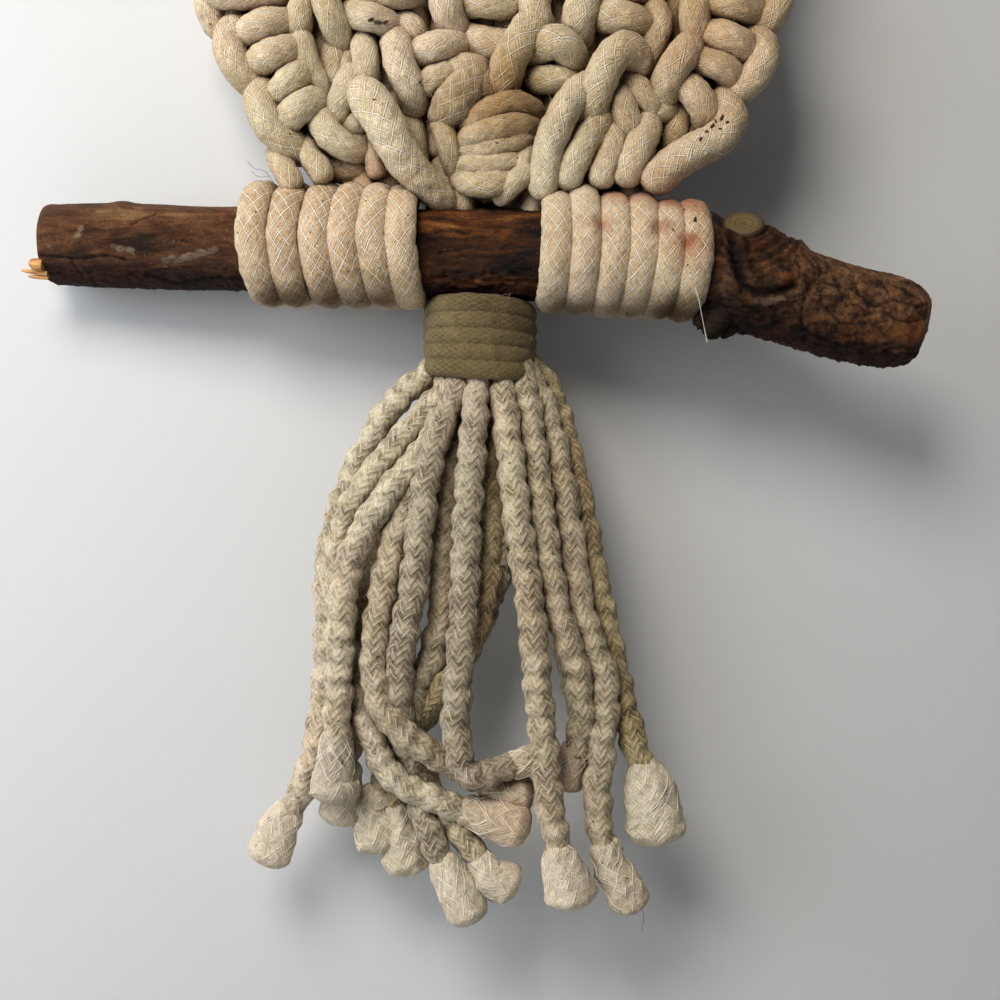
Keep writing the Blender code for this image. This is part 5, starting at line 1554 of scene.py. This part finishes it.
# One pale thread hangs out of the right wrap, and dark hairs cling to the knotwork
threads = [wound(route, width=0.16, step=0.4, around=5, rough=0, taper=0.2, fuzz=0, puff=0) for route in (
    ((37.6, -12.4, -98.6), (38.4, -12.2, -101.2), (39.2, -10.5, -103.8), (40.0, -8.6, -106.2),
     (40.8, -7.6, -109.2)),
)]
thread = cords_piece("loose_thread", threads, light_yarn)
hairs = [wound(route, width=0.09, step=0.4, around=4, rough=0, taper=0.2, fuzz=0, puff=0) for route in (
    ((-50.4, -4, -72.4), (-48.6, -6, -74.4), (-46.2, -7.5, -75.4), (-44.4, -7.8, -77.8)),
    ((-49.6, -4, -74.4), (-47.6, -6.6, -76.2), (-45.0, -8.0, -76.4)),
    ((27.4, -4, -220.0), (28.6, -4.2, -222.6), (28.2, -4.4, -226.0)),
)]
hair = cords_piece("clinging_hairs", hairs, crumb_wood)
for piece in (crumbs, berry, thread, hair):
    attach(piece, "root")


# Cotton down: single fibres stand off every cord and thickest off the cut ends. Real ones are a few
# hundredths of a millimetre thick; these are drawn coarser so that they show.
FIBRE = 0.03
FIBRE_LENGTH = 1.6
FIBRE_COUNT = 4600

fibre_cotton, tree, shader, output = new_material("cotton_fibre")
place = add_node(tree, "ShaderNodeTexCoord")
tone = add_node(tree, "ShaderNodeTexNoise", links={"Vector": place.outputs["Object"]},
                values={"Scale": 90.0, "Detail": 2.0})
shade = add_node(tree, "ShaderNodeMix", {"data_type": "RGBA"}, {0: tone.outputs["Fac"]},
                 {6: linear("#BDAE8E"), 7: linear("#F0E6CF")})
tree.links.new(shade.outputs[2], shader.inputs["Base Color"])
shader.inputs["Roughness"].default_value = 0.9


def fibre_piece(name, roots, outs, alongs, length, curl, lift, material):
    """Curled fibres as three-sided threads, growing from these points."""
    points, faces = [], []
    steps = 4
    for root, out, along in zip(roots, outs, alongs):
        long = length * rng.uniform(0.45, 1.3)
        lean = unit((along * rng.choice((-1, 1)) + out * rng.uniform(0.1, lift)
                     + rng.normal(0, 0.35, 3))[None])[0]
        bend = rng.normal(0, curl, 3)
        at = root - out * 0.12
        heading = lean
        start = len(points)
        for k in range(steps):
            side = np.cross(heading, out + 0.01)
            side /= np.linalg.norm(side) + 1e-9
            other = np.cross(heading, side)
            wide = FIBRE * (1 - 0.7 * k / (steps - 1))
            for turn in (0, 2.1, 4.2):
                points.append(at + wide * (math.cos(turn) * side + math.sin(turn) * other))
            at = at + heading * long / (steps - 1)
            heading = heading + bend / (steps - 1) - out * 0.04
            heading = heading / np.linalg.norm(heading)
        for k in range(steps - 1):
            for j in range(3):
                a, b = start + 3 * k + j, start + 3 * k + (j + 1) % 3
                faces.append((a, b, b + 3, a + 3))
        faces.append((start, start + 2, start + 1))
        faces.append((start + 3 * steps - 3, start + 3 * steps - 2, start + 3 * steps - 1))
    return mesh_object(name, np.array(points) * MM, faces, material)


roots = np.vstack([r for r, _, _ in fuzz_roots])
outs = np.vstack([o for _, o, _ in fuzz_roots])
alongs = np.vstack([a for _, _, a in fuzz_roots])
order = rng.permutation(len(roots))[:FIBRE_COUNT]
for number, share in enumerate(np.array_split(order, 3)):
    down = fibre_piece(f"cotton_down_{number + 1}", roots[share], outs[share], alongs[share],
                       length=FIBRE_LENGTH, curl=1.3, lift=1.6, material=fibre_cotton)
    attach(down, "root")


# The light: a wide soft source in front, above and to the left, a cooler one at the left, one high
# behind for the back of the work, and a pale room all round.

def soft_light(name, spot, aim, size, power, tint):
    data = bpy.data.lights.new(name, "AREA")
    data.shape = "DISK"
    data.size = size
    data.energy = power
    data.color = linear(tint)[:3]
    lamp = bpy.data.objects.new(name, data)
    lamp.location = spot
    lamp.rotation_euler = (Vector(aim) - Vector(spot)).to_track_quat("-Z", "Y").to_euler()
    bpy.context.scene.collection.objects.link(lamp)


soft_light("key_above", (-0.16, -0.41, 0.21), (-0.01, 0, -0.10), 0.28, 2.45, "#FFF6EA")
soft_light("window_left", (-0.34, -0.24, -0.04), (-0.03, 0, -0.10), 0.36, 1.4, "#F6FAFF")
soft_light("rim_behind", (0.35, 0.8, 0.5), (0, 0, -0.11), 0.5, 8.0, "#FFFFFF")
world = bpy.data.worlds.new("room")
world.use_nodes = True
world.node_tree.nodes["Background"].inputs["Color"].default_value = linear("#DADFE4")
world.node_tree.nodes["Background"].inputs["Strength"].default_value = 0.10
bpy.context.scene.world = world
bpy.context.scene.view_settings.view_transform = "Standard"

low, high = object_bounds()
